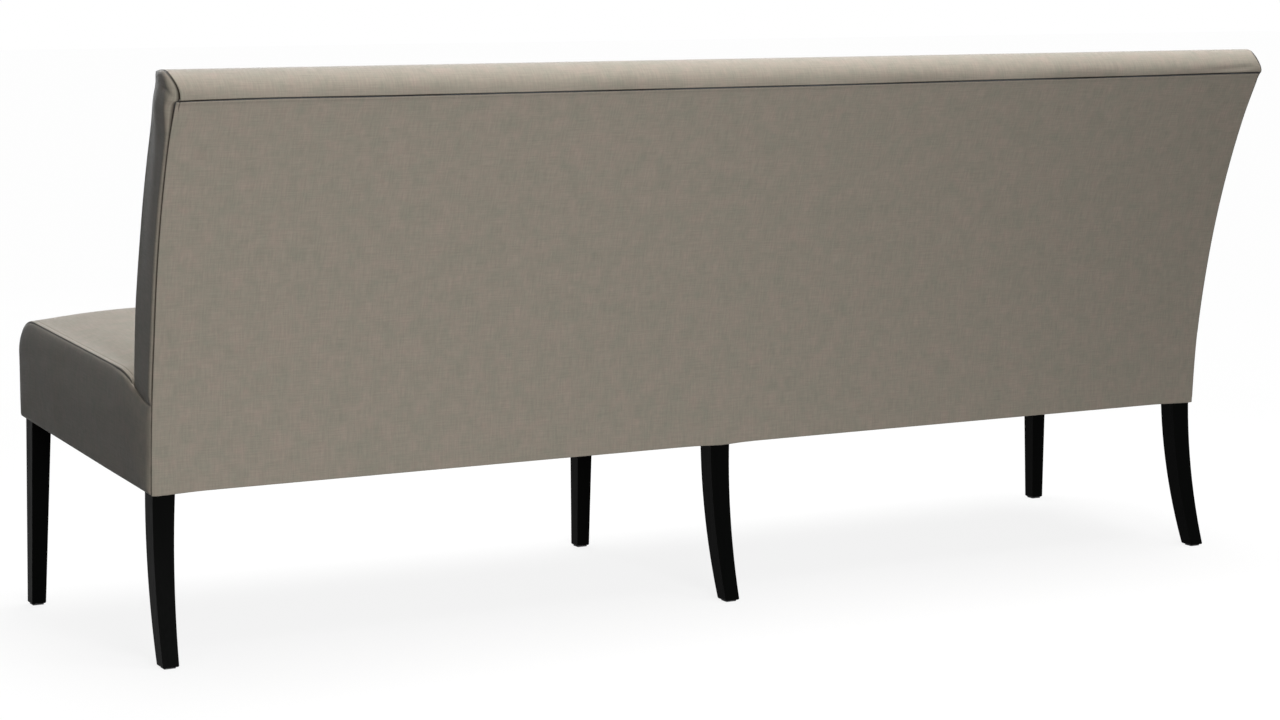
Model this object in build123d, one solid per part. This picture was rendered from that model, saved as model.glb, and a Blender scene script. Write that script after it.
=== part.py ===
from build123d import *
import math
import os

# A long dining bench without arms. Six black wooden legs carry a beech frame,
# and the seat and the raked back are padded and covered in fabric. The three
# rear legs are sawn in one piece with the posts of the back.
# Millimetres. X runs along the bench, -Y is the front and Z is up. The origin
# is on the floor, under the middle of the bench.

# Whole bench
back_length = 2000.0
front_length = 2074.0
seat_depth = 523.0
bench_height = 907.0

# Legs and the pads under them
pad_thickness = 2.5
pad_side = 18.0
front_leg_side = 32.5
front_foot_side = 24.0
front_foot_rake = 4.0
rear_leg_width = 36.0
rear_foot_width = 26.0
rear_foot_depth = 27.0
rear_foot_sweep = 39.0
leg_splay = 5.0
foot_edge = 1.5

# Seat, at the cover's outer face. Padding is measured up from the rails.
cover_bottom_front = 318.0
cover_bottom_rear = 262.0
seat_front_padding = 78.0
seat_rear_padding = 100.0
seat_crown = 11.0
seat_roll_radius = 60.0
seat_front_tuck = 2.0
seat_dip_start = 111.0
seat_dip_end = 24.0
seat_dip_middle = 12.0
seat_tail = 44.0
crown_run = 170.0

# Back, as arcs seen from the end. Drops are measured down from the bench's top, lifts up from the rails.
back_rear_radius = 1435.0
back_rear_rise = 48.0
back_front_radius = 1510.0
back_front_rise = 47.0
back_foot_thickness = 58.5
back_foot_lift = 54.0
back_bulge = 8.0
top_seam_drop = 42.0
roll_radius = 45.0
roll_overhang = 6.8
front_corner_drop = 19.0
front_corner_radius = 14.0
front_corner_sag = 3.0

# Seam between the seat's end panel and the back's end strip, down from the seat's rear height
seam_knee_reach = 54.0
seam_knee_drop = 22.0
seam_foot_drop = 46.5
seam_gap = 0.4

# Covers, board and padding
cover_thickness = 4.0
rear_cover_thickness = 3.0
board_thickness = 3.0
board_margin = 3.0
post_setback = 1.0
dust_cover_thickness = 1.0
dust_cover_margin = 6.0
soft_clearance = 0.3

# Beech frame
rail_thickness = 25.0
rail_height = 80.0
rail_lift = 4.0
frame_setback = 0.3
post_depth = 34.0
back_rail_thickness = 22.0
back_rail_height = 60.0
lower_rail_lift = 84.0
top_rail_height = 50.0
top_rail_drop = 37.0
tenon_thickness = 10.0
tenon_length = 14.0
tenon_shoulder = 12.0
mortise_room = 1.0
post_tenon_height = 22.0
post_tenon_shoulder = 8.0

# Corner blocks and their screws
block_leg = 70.0
block_height = 45.0
block_lift = 17.0
block_leg_room = 1.0
screw_radius = 2.25
screw_head_radius = 4.5
screw_head_height = 2.5
screw_bite = 15.0

# Webbing
strap_width = 60.0
strap_thickness = 1.5
back_strap_end = 6.0
strap_edge = 4.0

# Counts, shares and working lengths
overrun = 20.0
seat_straps_per_bay = 7
back_straps_per_bay = 5
long_strap_count = 4
crown_shares = (0.0, 0.5, 1.0)
half_share = 0.5
sides = (-1, 1)

# Places that follow from the sizes above
half_back = back_length / 2
half_front = front_length / 2
bench_reach = max(half_back, half_front) + overrun
rear_rail_top_z = cover_bottom_rear + rail_lift + rail_height
seat_front_z = cover_bottom_front + rail_lift + rail_height + seat_front_padding
seat_rear_z = rear_rail_top_z + seat_rear_padding
back_low_z = rear_rail_top_z + back_foot_lift
top_seam_z = bench_height - top_seam_drop
rear_centre_z = cover_bottom_rear - back_rear_rise
back_sweep = back_rear_radius - math.sqrt(back_rear_radius**2 - (top_seam_z - rear_centre_z) ** 2)
back_foot_y = (seat_depth - back_sweep - roll_overhang) / 2
front_y = back_foot_y - seat_depth
rear_centre_y = back_foot_y + back_rear_radius
front_centre_y = back_foot_y - back_foot_thickness + back_front_radius
front_centre_z = cover_bottom_rear + back_front_rise
roll_y = back_foot_y + back_sweep + roll_overhang - roll_radius
flare = (half_front - half_back) / seat_depth
bottom_slope = (cover_bottom_front - cover_bottom_rear) / seat_depth
board_radius = back_rear_radius + rear_cover_thickness
frame_radius = board_radius + board_thickness
frame_front_radius = frame_radius + post_depth
webbing_radius = frame_front_radius + strap_thickness
leg_front_y = front_y + seat_front_tuck + cover_thickness + frame_setback
front_leg_depth = front_leg_side + cover_thickness * 2
post_reach = rear_cover_thickness + board_thickness + post_depth + cover_thickness
front_leg_x = half_front - cover_thickness - frame_setback - max(flare, 0) * front_leg_depth
post_outer_x = half_back - cover_thickness - post_setback - max(-flare, 0) * post_reach
lower_rail_z = rear_rail_top_z + lower_rail_lift
top_rail_z = bench_height - top_rail_drop - top_rail_height
back_rail_places = (lower_rail_z + back_rail_height / 2, (lower_rail_z + back_rail_height + top_rail_z) / 2)


def end_x(y, shift=0.0):
    """Half length of the seat at a depth: the ends flare towards the front."""
    return half_back + flare * (back_foot_y - y) + shift


def cover_bottom(y):
    return cover_bottom_rear + bottom_slope * (back_foot_y - y)


def rail_bottom(y):
    return cover_bottom(y) + rail_lift


def arc_y(z, radius):
    """Y of the back's rear arc, or of an arc about the same centre, at a height."""
    return rear_centre_y - math.sqrt(radius**2 - (z - rear_centre_z) ** 2)


def front_arc_y(z, forward):
    """Y of the back's front face at a height, moved forward by the bulge."""
    rise = z - front_centre_z
    return front_centre_y - math.sqrt(back_front_radius**2 - rise**2) - forward


def slab(edges, x0, x1):
    """A closed outline in Y and Z, extruded along X from x0 to x1."""
    outline = Plane.YZ * make_face(edges)
    return Pos(x0, 0, 0) * extrude(outline, x1 - x0)


def plan(points, z0, z1):
    """A polygon in X and Y, extruded from z0 up to z1."""
    return Pos(0, 0, z0) * extrude(make_face(Polyline(*points, close=True)), z1 - z0)


def block(x0, x1, y0, y1, z0, z1):
    middle = Pos((x0 + x1) / 2, (y0 + y1) / 2, (z0 + z1) / 2)
    return middle * Box(abs(x1 - x0), abs(y1 - y0), abs(z1 - z0))


def arc_band(outer, inner, z0, z1):
    """Edges of a curved band about the back's centre, between two radii and two heights."""
    middle = (z0 + z1) / 2
    low_rear = (arc_y(z0, inner), z0)
    low_front = (arc_y(z0, outer), z0)
    high_rear = (arc_y(z1, inner), z1)
    high_front = (arc_y(z1, outer), z1)
    return [
        ThreePointArc(low_rear, (arc_y(middle, inner), middle), high_rear),
        Line(high_rear, high_front),
        ThreePointArc(high_front, (arc_y(middle, outer), middle), low_front),
        Line(low_front, low_rear),
    ]


def sloped_band(y0, y1, low, high):
    """Edges of a band along the sloping seat frame, between two heights above the rails' foot."""
    return Polyline(
        (y0, rail_bottom(y0) + low),
        (y1, rail_bottom(y1) + low),
        (y1, rail_bottom(y1) + high),
        (y0, rail_bottom(y0) + high),
        close=True,
    )


# Seat


def seat_points(share, inset, tail, drop):
    """Corners and arc middles of the seat's section, where share is 0 amid the bench and 1 at its end."""
    y_front = front_y + inset
    y_tail = back_foot_y - tail
    y_dip = back_foot_y - seat_dip_start
    crown = seat_crown * (1 - share)
    z_dip = seat_rear_z + crown - inset
    z_front = seat_front_z + crown - inset
    radius = seat_roll_radius - inset
    slope = math.atan2(z_front - z_dip, y_dip - y_front)
    reach = radius / math.tan((math.pi / 2 - slope) / 2)
    roll_start = (y_front, z_front - reach + radius * math.tan(slope))
    roll_end = (y_front + reach * math.cos(slope), roll_start[1] + reach - reach * math.sin(slope))
    turn = (math.pi / 2 + slope) / 2
    roll_middle = (
        y_front + radius - radius * math.cos(turn),
        roll_start[1] + radius * math.sin(turn),
    )
    dip = seat_dip_middle + (seat_dip_end - seat_dip_middle) * share
    tail_top = (y_tail, z_dip - dip)
    hang = math.tan(slope) * (y_tail - y_dip)
    dip_middle = ((y_dip + y_tail) / 2, z_dip - hang * half_share - (dip - hang) * half_share**2)
    bottom_front = (y_front + seat_front_tuck, cover_bottom(front_y) - drop)
    bottom_tail = (y_tail, cover_bottom(y_tail) - drop)
    return bottom_front, roll_start, roll_middle, roll_end, (y_dip, z_dip), dip_middle, tail_top, bottom_tail


def seat_section(share, inset, tail, drop, end_shift, side):
    """The seat's section on an upright plane, which turns with the flare towards the end."""
    start = half_back - crown_run

    def place(point):
        y, z = point
        return (side * (start + share * (end_x(y, end_shift) - start)), y, z)

    a, b, m, c, d, n, e, g = (place(p) for p in seat_points(share**2, inset, tail, drop))
    edges = [Line(a, b), ThreePointArc(b, m, c), Line(c, d), ThreePointArc(d, n, e), Line(e, g), Line(g, a)]
    return Wire(edges)


def seat_solid(inset, tail, drop, reach=0.0):
    """The crowned seat: a straight stretch, a crowned end at each side, and a reach past the ends."""
    middle = [seat_section(0.0, inset, tail, drop, 0.0, side) for side in sides]
    body = Solid.make_loft(middle, ruled=True)
    for side in sides:
        ends = [seat_section(share, inset, tail, drop, 0.0, side) for share in crown_shares]
        body = body + Solid.make_loft(ends)
        if reach > 0:
            beyond = [seat_section(1.0, inset, tail, drop, shift, side) for shift in (0.0, reach)]
            body = body + Solid.make_loft(beyond, ruled=True)
    return body


# Back


def back_points(forward, inset, rear_radius):
    """Corners and arc middles of the back's section."""
    low = back_low_z
    seam = top_seam_z + inset
    front_top = bench_height - front_corner_drop - inset
    middle = (low + seam) / 2
    rear_low = (arc_y(low, rear_radius), low)
    rear_middle = (arc_y(middle, rear_radius), middle)
    rear_seam = (arc_y(seam, rear_radius), seam)
    radius = roll_radius - inset
    roll_z = bench_height - roll_radius
    rise = seam - roll_z
    roll_start = (roll_y + math.sqrt(radius**2 - rise**2), seam)
    turn = math.pi / 4 + math.asin(rise / radius) / 2
    roll_middle = (roll_y + radius * math.cos(turn), roll_z + radius * math.sin(turn))
    roll_top = (roll_y, roll_z + radius)
    corner_low = (front_arc_y(front_top, forward) + inset, front_top)
    corner_top = (corner_low[0] + front_corner_radius, roll_top[1] - front_corner_sag)
    bevel = front_corner_radius * (1 - math.cos(math.pi / 4))
    corner_middle = (corner_low[0] + bevel, corner_top[1] - bevel)
    crown_middle = ((roll_top[0] + corner_top[0]) / 2, roll_top[1] - front_corner_sag * half_share**2)
    front_middle = (front_arc_y(middle, forward) + inset, middle)
    front_low = (front_arc_y(low, forward) + inset, low)
    return (
        rear_low,
        rear_middle,
        rear_seam,
        roll_start,
        roll_middle,
        roll_top,
        crown_middle,
        corner_top,
        corner_middle,
        corner_low,
        front_middle,
        front_low,
    )


def back_edges(points):
    a, m1, b, c, m2, d, m3, e, m4, f, m5, g = points
    return [
        ThreePointArc(a, m1, b),
        Line(b, c),
        ThreePointArc(c, m2, d),
        ThreePointArc(d, m3, e),
        ThreePointArc(e, m4, f),
        ThreePointArc(f, m5, g),
        Line(g, a),
    ]


def back_section(share, inset, rear_radius, end_shift, side):
    forward = back_bulge * (1 - share**2)
    x = side * (half_back - crown_run + share * (crown_run + end_shift))
    return Wire(back_edges([(x, y, z) for y, z in back_points(forward, inset, rear_radius)]))


def back_solid(inset, rear_radius, reach=0.0):
    """The padded back: a straight stretch, a crowned end at each side, and a reach past the ends."""
    middle = [back_section(0.0, inset, rear_radius, 0.0, side) for side in sides]
    body = Solid.make_loft(middle, ruled=True)
    for side in sides:
        ends = [back_section(share, inset, rear_radius, 0.0, side) for share in crown_shares]
        body = body + Solid.make_loft(ends)
        if reach > 0:
            beyond = [back_section(1.0, inset, rear_radius, shift, side) for shift in (0.0, reach)]
            body = body + Solid.make_loft(beyond, ruled=True)
    return body


# The seam that the seat's end panel shares with the back's end strip


def seam_edges(lift):
    """Two arcs, from the seat's top edge down to the rear panel."""
    slope = (seat_front_z - seat_rear_z) / (seat_depth - seat_dip_start)
    start = (back_foot_y - seat_dip_start, seat_rear_z - cover_thickness + lift)
    knee = (back_foot_y - seam_knee_reach, seat_rear_z - seam_knee_drop + lift)
    z_foot = seat_rear_z - seam_foot_drop
    foot = (arc_y(z_foot, board_radius), z_foot + lift)
    first = TangentArc(start, knee, tangent=(1.0, -slope))
    second = TangentArc(knee, foot, tangent=first % 1)
    return start, foot, [first, second]


def seat_end_panel(side):
    """The boxing at one end of the seat, flat on the flared end plane."""
    points = seat_points(1.0, cover_thickness, seat_tail, 0.0)
    bottom_front, roll_start, roll_middle, roll_end = points[:4]
    start, foot, seam = seam_edges(0.0)
    bottom_rear = (foot[0], cover_bottom(foot[0]))
    edges = [
        Line(bottom_front, roll_start),
        ThreePointArc(roll_start, roll_middle, roll_end),
        Line(roll_end, start),
        *seam,
        Line(foot, bottom_rear),
        Line(bottom_rear, bottom_front),
    ]
    outline = slab(edges, 0, bench_reach)
    y0, y1 = front_y, back_foot_y + overrun
    strip = plan(
        [
            (end_x(y0, -cover_thickness), y0),
            (end_x(y0), y0),
            (end_x(y1), y1),
            (end_x(y1, -cover_thickness), y1),
        ],
        0,
        bench_height,
    )
    behind = arc_band(board_radius, back_rear_radius - overrun, 0, back_low_z + overrun)
    panel = (outline & strip) - slab(behind, 0, bench_reach)
    return panel if side > 0 else mirror(panel, Plane.YZ)


def below_seam(side):
    """The space under the seam at one end of the bench, where the seat's end panel goes."""
    start, foot, seam = seam_edges(seam_gap)
    edges = [
        *seam,
        Line(foot, (foot[0] + overrun, foot[1])),
        Line((foot[0] + overrun, foot[1]), (foot[0] + overrun, 0)),
        Line((foot[0] + overrun, 0), (start[0], 0)),
        Line((start[0], 0), start),
    ]
    space = slab(edges, half_back - cover_thickness, bench_reach)
    return space if side > 0 else mirror(space, Plane.YZ)


def back_end_strip(side):
    """The narrow panel that closes one end of the back."""
    outline = back_edges(back_points(0.0, cover_thickness, board_radius))
    strip = slab(outline, half_back - cover_thickness, half_back)
    if side < 0:
        strip = mirror(strip, Plane.YZ)
    return strip - below_seam(side)


# Legs


def leg_x(side, outer, width, foot_width):
    """X spans of a leg's top and foot. End legs splay outward a little, the middle one stands plumb."""
    if side == 0:
        return (-width / 2, width / 2), (-foot_width / 2, foot_width / 2)
    foot_outer = outer + leg_splay
    top = sorted((side * outer, side * (outer - width)))
    foot = sorted((side * foot_outer, side * (foot_outer - foot_width)))
    return tuple(top), tuple(foot)


def leg_from_views(side_view, top_x, foot_x, z_knee):
    """A leg that fits two outlines: its side view, and a front view that tapers below a knee."""
    front_view = Polyline(
        (top_x[0], bench_height),
        (top_x[0], z_knee),
        (foot_x[0], pad_thickness),
        (foot_x[1], pad_thickness),
        (top_x[1], z_knee),
        (top_x[1], bench_height),
        close=True,
    )
    leg = slab(side_view, top_x[0] - overrun, top_x[1] + overrun)
    leg = leg & extrude(Plane.XZ * make_face(front_view), seat_depth, both=True)
    return chamfer(leg.edges().group_by(Axis.Z)[0], foot_edge)


def front_leg(side):
    """A straight square leg, tapered below the seat frame to a foot that stands a little forward."""
    top_x, foot_x = leg_x(side, front_leg_x, front_leg_side, front_foot_side)
    y0, y1 = leg_front_y, leg_front_y + front_leg_side
    y0_foot = y0 - front_foot_rake
    z_knee = rail_bottom(y1)
    head = rail_height - strap_thickness
    side_view = Polyline(
        (y0_foot, pad_thickness),
        (y0_foot + front_foot_side, pad_thickness),
        (y1, z_knee),
        (y1, rail_bottom(y1) + head),
        (y0, rail_bottom(y0) + head),
        (y0, z_knee),
        close=True,
    )
    return leg_from_views(side_view, top_x, foot_x, z_knee)


def rear_leg_outline():
    """Edges of a rear leg and its post: a swept leg below, a raked post above."""
    top = top_rail_z
    middle = (cover_bottom_rear + top) / 2
    rear_knee = (arc_y(cover_bottom_rear, frame_radius), cover_bottom_rear)
    front_knee = (arc_y(cover_bottom_rear, frame_front_radius), cover_bottom_rear)
    rear_top = (arc_y(top, frame_radius), top)
    front_top = (arc_y(top, frame_front_radius), top)
    rear_foot = (back_foot_y + rear_foot_sweep, pad_thickness)
    front_foot = (rear_foot[0] - rear_foot_depth, pad_thickness)
    return [
        ThreePointArc(rear_top, (arc_y(middle, frame_radius), middle), rear_knee),
        TangentArc(rear_knee, rear_foot, tangent=(0.0, -1.0)),
        Line(rear_foot, front_foot),
        TangentArc(front_knee, front_foot, tangent=(0.0, -1.0)),
        ThreePointArc(front_knee, (arc_y(middle, frame_front_radius), middle), front_top),
        Line(front_top, rear_top),
    ]


def rear_leg(side):
    """A rear leg in one piece with its back post, with a tenon on top."""
    top_x, foot_x = leg_x(side, post_outer_x, rear_leg_width, rear_foot_width)
    leg = leg_from_views(rear_leg_outline(), top_x, foot_x, cover_bottom_rear)
    return leg + post_tenon(side, post_tenon_height)


def post_tenon(side, height):
    """The tenon on a post, which the top rail takes."""
    top_x = leg_x(side, post_outer_x, rear_leg_width, rear_foot_width)[0]
    outer = frame_front_radius - post_tenon_shoulder
    inner = frame_radius + post_tenon_shoulder
    tenon = arc_band(outer, inner, top_rail_z, top_rail_z + height)
    return slab(tenon, top_x[0] + post_tenon_shoulder, top_x[1] - post_tenon_shoulder)


def foot_pad(x, y):
    """A felt pad, glued under a foot."""
    return Pos(x, y, pad_thickness / 2) * Box(pad_side, pad_side, pad_thickness)


def foot_pads():
    pads = []
    for side in (-1, 0, 1):
        foot_x = leg_x(side, front_leg_x, front_leg_side, front_foot_side)[1]
        pads.append(foot_pad(sum(foot_x) / 2, leg_front_y - front_foot_rake + front_foot_side / 2))
        foot_x = leg_x(side, post_outer_x, rear_leg_width, rear_foot_width)[1]
        pads.append(foot_pad(sum(foot_x) / 2, back_foot_y + rear_foot_sweep - rear_foot_depth / 2))
    return pads


# Rails


def bay(outer, width):
    """X span of one bay, from the middle leg to an end leg, on the +X side."""
    return width / 2, outer - width


def long_rail(span, y0, side):
    """A front or rear rail between two legs, with a tenon at each end."""
    y1 = y0 + rail_thickness
    x0, x1 = span
    body = slab(sloped_band(y0, y1, 0, rail_height), x0, x1)
    tenon = long_tenon(span, y0, tenon_length)
    rail = body + tenon
    return rail if side > 0 else mirror(rail, Plane.YZ)


def long_tenon(span, y0, length):
    """A tongue along the rail that stands out past both shoulders."""
    cheek = (rail_thickness - tenon_thickness) / 2
    band = sloped_band(y0 + cheek, y0 + rail_thickness - cheek, tenon_shoulder, rail_height - tenon_shoulder)
    return slab(band, span[0] - length, span[1] + length)


def cross_strip(x_low, x_high, y0, y1, low, high, flared):
    """A bar from front to rear on the sloping frame. A flared one keeps to the seat's end."""
    corners = [(x_low, y0), (x_high, y0), (x_high, y1), (x_low, y1)]
    if flared:
        corners = [(end_x(y, x), y) for x, y in corners]
    bar = plan(corners, 0, bench_height)
    return bar & slab(sloped_band(y0, y1, low, high), -bench_reach, bench_reach)


def cross_span(flared):
    """Offsets of a cross rail's faces: from the end plane, or from the middle."""
    if flared:
        outer = -cover_thickness - frame_setback
        return outer - rail_thickness, outer
    return -rail_thickness / 2, rail_thickness / 2


def cross_tenon(flared, length):
    low, high = cross_span(flared)
    cheek = (rail_thickness - tenon_thickness) / 2
    y0 = leg_front_y + front_leg_side - length
    y1 = arc_y(rail_bottom(back_foot_y) + rail_height / 2, frame_front_radius) + length
    top = rail_height - tenon_shoulder
    return cross_strip(low + cheek, high - cheek, y0, y1, tenon_shoulder, top, flared)


def cross_rail(flared, side):
    """A rail from a front leg to a rear post, lower than the long rails by a strap's thickness."""
    low, high = cross_span(flared)
    y0 = leg_front_y + front_leg_side
    bar = cross_strip(low, high, y0, back_foot_y, 0, rail_height - strap_thickness, flared)
    behind = arc_band(frame_front_radius, back_rear_radius - overrun, 0, bench_height)
    rail = bar - slab(behind, -bench_reach, bench_reach) + cross_tenon(flared, tenon_length)
    return rail if side > 0 else mirror(rail, Plane.YZ)


def back_rail(middle, side):
    """A rail between two posts of the back, flush with their front faces."""
    x0, x1 = bay(post_outer_x, rear_leg_width)
    low, high = middle - back_rail_height / 2, middle + back_rail_height / 2
    body = slab(arc_band(frame_front_radius, frame_front_radius - back_rail_thickness, low, high), x0, x1)
    rail = body + back_rail_tenon(middle, tenon_length)
    return rail if side > 0 else mirror(rail, Plane.YZ)


def back_rail_tenon(middle, length):
    x0, x1 = bay(post_outer_x, rear_leg_width)
    half = back_rail_height / 2 - tenon_shoulder
    outer = frame_front_radius - (back_rail_thickness - tenon_thickness) / 2
    band = arc_band(outer, outer - tenon_thickness, middle - half, middle + half)
    return slab(band, x0 - length, x1 + length)


def top_rail():
    """The full-length rail on top of the posts, which takes their tenons."""
    band = arc_band(frame_front_radius, frame_radius, top_rail_z, top_rail_z + top_rail_height)
    rail = slab(band, -post_outer_x, post_outer_x)
    for side in (-1, 0, 1):
        rail = rail - post_tenon(side, post_tenon_height + mortise_room)
    return rail


# Corner blocks


def corner_block(x_face, y_face, turn, leg, z0):
    """A block across the corner between a long rail and a cross rail, notched clear of the leg."""
    x_turn, y_turn = turn
    y_far = y_face + y_turn * block_leg
    notch_x = leg[0] + x_turn * block_leg_room
    notch_y = leg[1] + y_turn * block_leg_room
    points = [
        (notch_x, y_face),
        (x_face(y_face) + x_turn * block_leg, y_face),
        (x_face(y_far), y_far),
        (x_face(notch_y), notch_y),
        (notch_x, notch_y),
    ]
    return plan(points, z0, z0 + block_height)


def end_rail_face(y):
    """X of the inner face of the end rail at +X."""
    return end_x(y, cross_span(True)[0])


def middle_rail_face(y):
    """X of the middle rail's face towards +X, which is the same all along."""
    return cross_span(False)[1]


def front_block_z():
    return rail_bottom(leg_front_y + rail_thickness + block_leg) + block_lift


def rear_block_z():
    return rail_bottom(rear_rail_y()) + block_lift


def corner_blocks():
    """Eight blocks: one at each end leg and one at each side of the middle legs."""
    y_front = leg_front_y + rail_thickness
    y_rear = rear_rail_y()
    front_leg_y = leg_front_y + front_leg_side
    rear_leg_y = arc_y(rail_bottom(back_foot_y), frame_front_radius)
    front_end = (front_leg_x - front_leg_side, front_leg_y)
    front_middle = (front_leg_side / 2, front_leg_y)
    rear_end = (post_outer_x - rear_leg_width, rear_leg_y)
    rear_middle = (rear_leg_width / 2, rear_leg_y)
    blocks = [
        corner_block(end_rail_face, y_front, (-1, 1), front_end, front_block_z()),
        corner_block(middle_rail_face, y_front, (1, 1), front_middle, front_block_z()),
        corner_block(end_rail_face, y_rear, (-1, -1), rear_end, rear_block_z()),
        corner_block(middle_rail_face, y_rear, (1, -1), rear_middle, rear_block_z()),
    ]
    return blocks + [mirror(piece, Plane.YZ) for piece in blocks]


def rear_rail_y():
    """Y of the rear rail's inner face, so that its outer face lies on the back's board."""
    low = rail_bottom(back_foot_y)
    return arc_y(low, frame_radius) - rail_thickness


def screw(length):
    """A round-head screw along -Z, with the underside of its head at the origin."""
    profile = Polyline(
        (0, screw_head_height),
        (screw_head_radius, screw_head_height),
        (screw_head_radius, 0),
        (screw_radius, 0),
        (screw_radius, -length),
        (0, -length),
        close=True,
    )
    return revolve(Plane.XZ * make_face(profile), Axis.Z)


def screws():
    """One screw through each corner block into its front or rear rail."""
    grip = block_leg * half_share
    pieces = []
    rows = (
        (leg_front_y + rail_thickness, 1, front_block_z() + block_height / 2),
        (rear_rail_y(), -1, rear_block_z() + block_height / 2),
    )
    for y_face, y_turn, z in rows:
        x_end = end_rail_face(y_face) - grip
        x_middle = middle_rail_face(y_face) + grip
        for x in (x_end, x_middle, -x_middle, -x_end):
            place = Pos(x, y_face + y_turn * grip, z) * Rot(-90 * y_turn, 0, 0)
            pieces.append(place * screw(grip + screw_bite))
    return pieces


# Webbing


def cross_straps():
    """Straps from the front rail to the rear rail, on top of the long straps."""
    x0, x1 = bay(post_outer_x, rear_leg_width)
    y0 = leg_front_y + strap_edge
    y1 = rear_rail_y() + rail_thickness - strap_edge
    pitch = (x1 - x0) / seat_straps_per_bay
    straps = []
    for side in sides:
        for n in range(seat_straps_per_bay):
            middle = side * (x0 + pitch * (n + half_share))
            band = sloped_band(y0, y1, rail_height, rail_height + strap_thickness)
            straps.append(slab(band, middle - strap_width / 2, middle + strap_width / 2))
    return straps


def lengthwise_straps():
    """Straps from end rail to end rail, over the middle rail and under the cross straps."""
    y_low = leg_front_y + front_leg_side
    y_high = rear_rail_y()
    pitch = (y_high - y_low) / long_strap_count
    low = rail_height - strap_thickness
    straps = []
    for n in range(long_strap_count):
        middle = y_low + pitch * (n + half_share)
        y0, y1 = middle - strap_width / 2, middle + strap_width / 2
        reach = end_x(y1, -cover_thickness - frame_setback - strap_edge)
        straps.append(slab(sloped_band(y0, y1, low, rail_height), -reach, reach))
    return straps


def back_straps():
    """Upright straps on the front of the back's rails."""
    x0, x1 = bay(post_outer_x, rear_leg_width)
    pitch = (x1 - x0) / back_straps_per_bay
    low = lower_rail_z + back_strap_end
    high = top_rail_z + top_rail_height - back_strap_end
    band = arc_band(webbing_radius, frame_front_radius, low, high)
    straps = []
    for side in sides:
        for n in range(back_straps_per_bay):
            middle = side * (x0 + pitch * (n + half_share))
            straps.append(slab(band, middle - strap_width / 2, middle + strap_width / 2))
    return straps


# Covers and padding


def seat_foam():
    """The seat pad, on the webbing and inside the covers, notched under the foot of the back."""
    pad = seat_solid(cover_thickness, seat_tail, 0.0) & seat_between_ends()
    top = rail_height + strap_thickness + soft_clearance
    floor = sloped_band(front_y - overrun, back_foot_y + overrun, -bench_height, top)
    return pad - slab(floor, -bench_reach, bench_reach) - back_clearance()


def seat_between_ends():
    """The space between the inner faces of the seat's two end panels."""
    y0, y1 = front_y - overrun, back_foot_y + overrun
    corners = [(side * end_x(y, -cover_thickness), y) for side, y in ((-1, y0), (1, y0), (1, y1), (-1, y1))]
    return plan(corners, 0, bench_height)


def back_clearance():
    """The back's outer form, grown by the clearance that the seat keeps from it."""
    return back_solid(-soft_clearance, board_radius, soft_clearance)


def below_back():
    """The space under the back's foot."""
    low = back_low_z + soft_clearance
    return block(-bench_reach, bench_reach, front_y, back_foot_y + back_sweep, 0, low)


def seat_top_cover():
    """The one piece of cover over the seat's top and front."""
    outer = seat_solid(0.0, seat_tail, 0.0)
    inner = seat_solid(cover_thickness, seat_tail - overrun, overrun, overrun)
    return (outer - inner) - back_clearance()


def back_front_cover():
    """The cover over the back's front and top, down to the seam behind."""
    outer = back_solid(0.0, board_radius)
    inner = back_solid(cover_thickness, board_radius - rear_cover_thickness / 2, overrun)
    cover = outer - inner - below_back()
    for side in sides:
        cover = cover - below_seam(side)
    return cover


def back_foam():
    """The back pad, in front of the webbing and over the top rail."""
    pad = back_solid(cover_thickness, board_radius)
    inside = half_back - cover_thickness
    pad = pad & block(-inside, inside, front_y, back_foot_y + seat_depth, 0, bench_height)
    low = back_low_z - overrun
    top = top_rail_z + top_rail_height
    frame = slab(arc_band(webbing_radius, board_radius - overrun, low, top), -bench_reach, bench_reach)
    return pad - frame - below_back()


def back_board():
    """The thin board behind the frame that keeps the rear cover smooth."""
    low = rail_bottom(back_foot_y)
    return slab(
        arc_band(frame_radius, board_radius, low, top_seam_z - board_margin),
        -post_outer_x,
        post_outer_x,
    )


def back_rear_panel():
    """The single smooth cover behind, from the top seam down to the lower edge."""
    return slab(
        arc_band(board_radius, back_rear_radius, cover_bottom_rear, top_seam_z), -half_back, half_back
    )


def dust_cover():
    """The thin cloth under the seat, with open notches round the legs."""
    y0 = leg_front_y + seat_front_tuck
    y1 = rear_rail_y() + rail_thickness - dust_cover_margin
    shift = -cover_thickness - dust_cover_margin
    cloth = cross_strip(-bench_reach, bench_reach, y0, y1, -dust_cover_thickness, 0, False)
    ends = [(-end_x(y0, shift), y0), (end_x(y0, shift), y0), (end_x(y1, shift), y1), (-end_x(y1, shift), y1)]
    cloth = cloth & plan(ends, 0, bench_height)
    front_notch = (y0 - overrun, leg_front_y + front_leg_side + block_leg_room)
    rear_notch = (arc_y(cover_bottom_rear, frame_front_radius) - block_leg_room, y1 + overrun)
    rows = ((front_notch, front_leg_x, front_leg_side), (rear_notch, post_outer_x, rear_leg_width))
    for (y_low, y_high), outer, width in rows:
        spans = [(-width / 2 - block_leg_room, width / 2 + block_leg_room)]
        inner = outer - width - block_leg_room
        spans += [(inner, bench_reach), (-bench_reach, -inner)]
        for x_low, x_high in spans:
            cloth = cloth - block(x_low, x_high, y_low, y_high, 0, bench_height)
    return cloth


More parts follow.
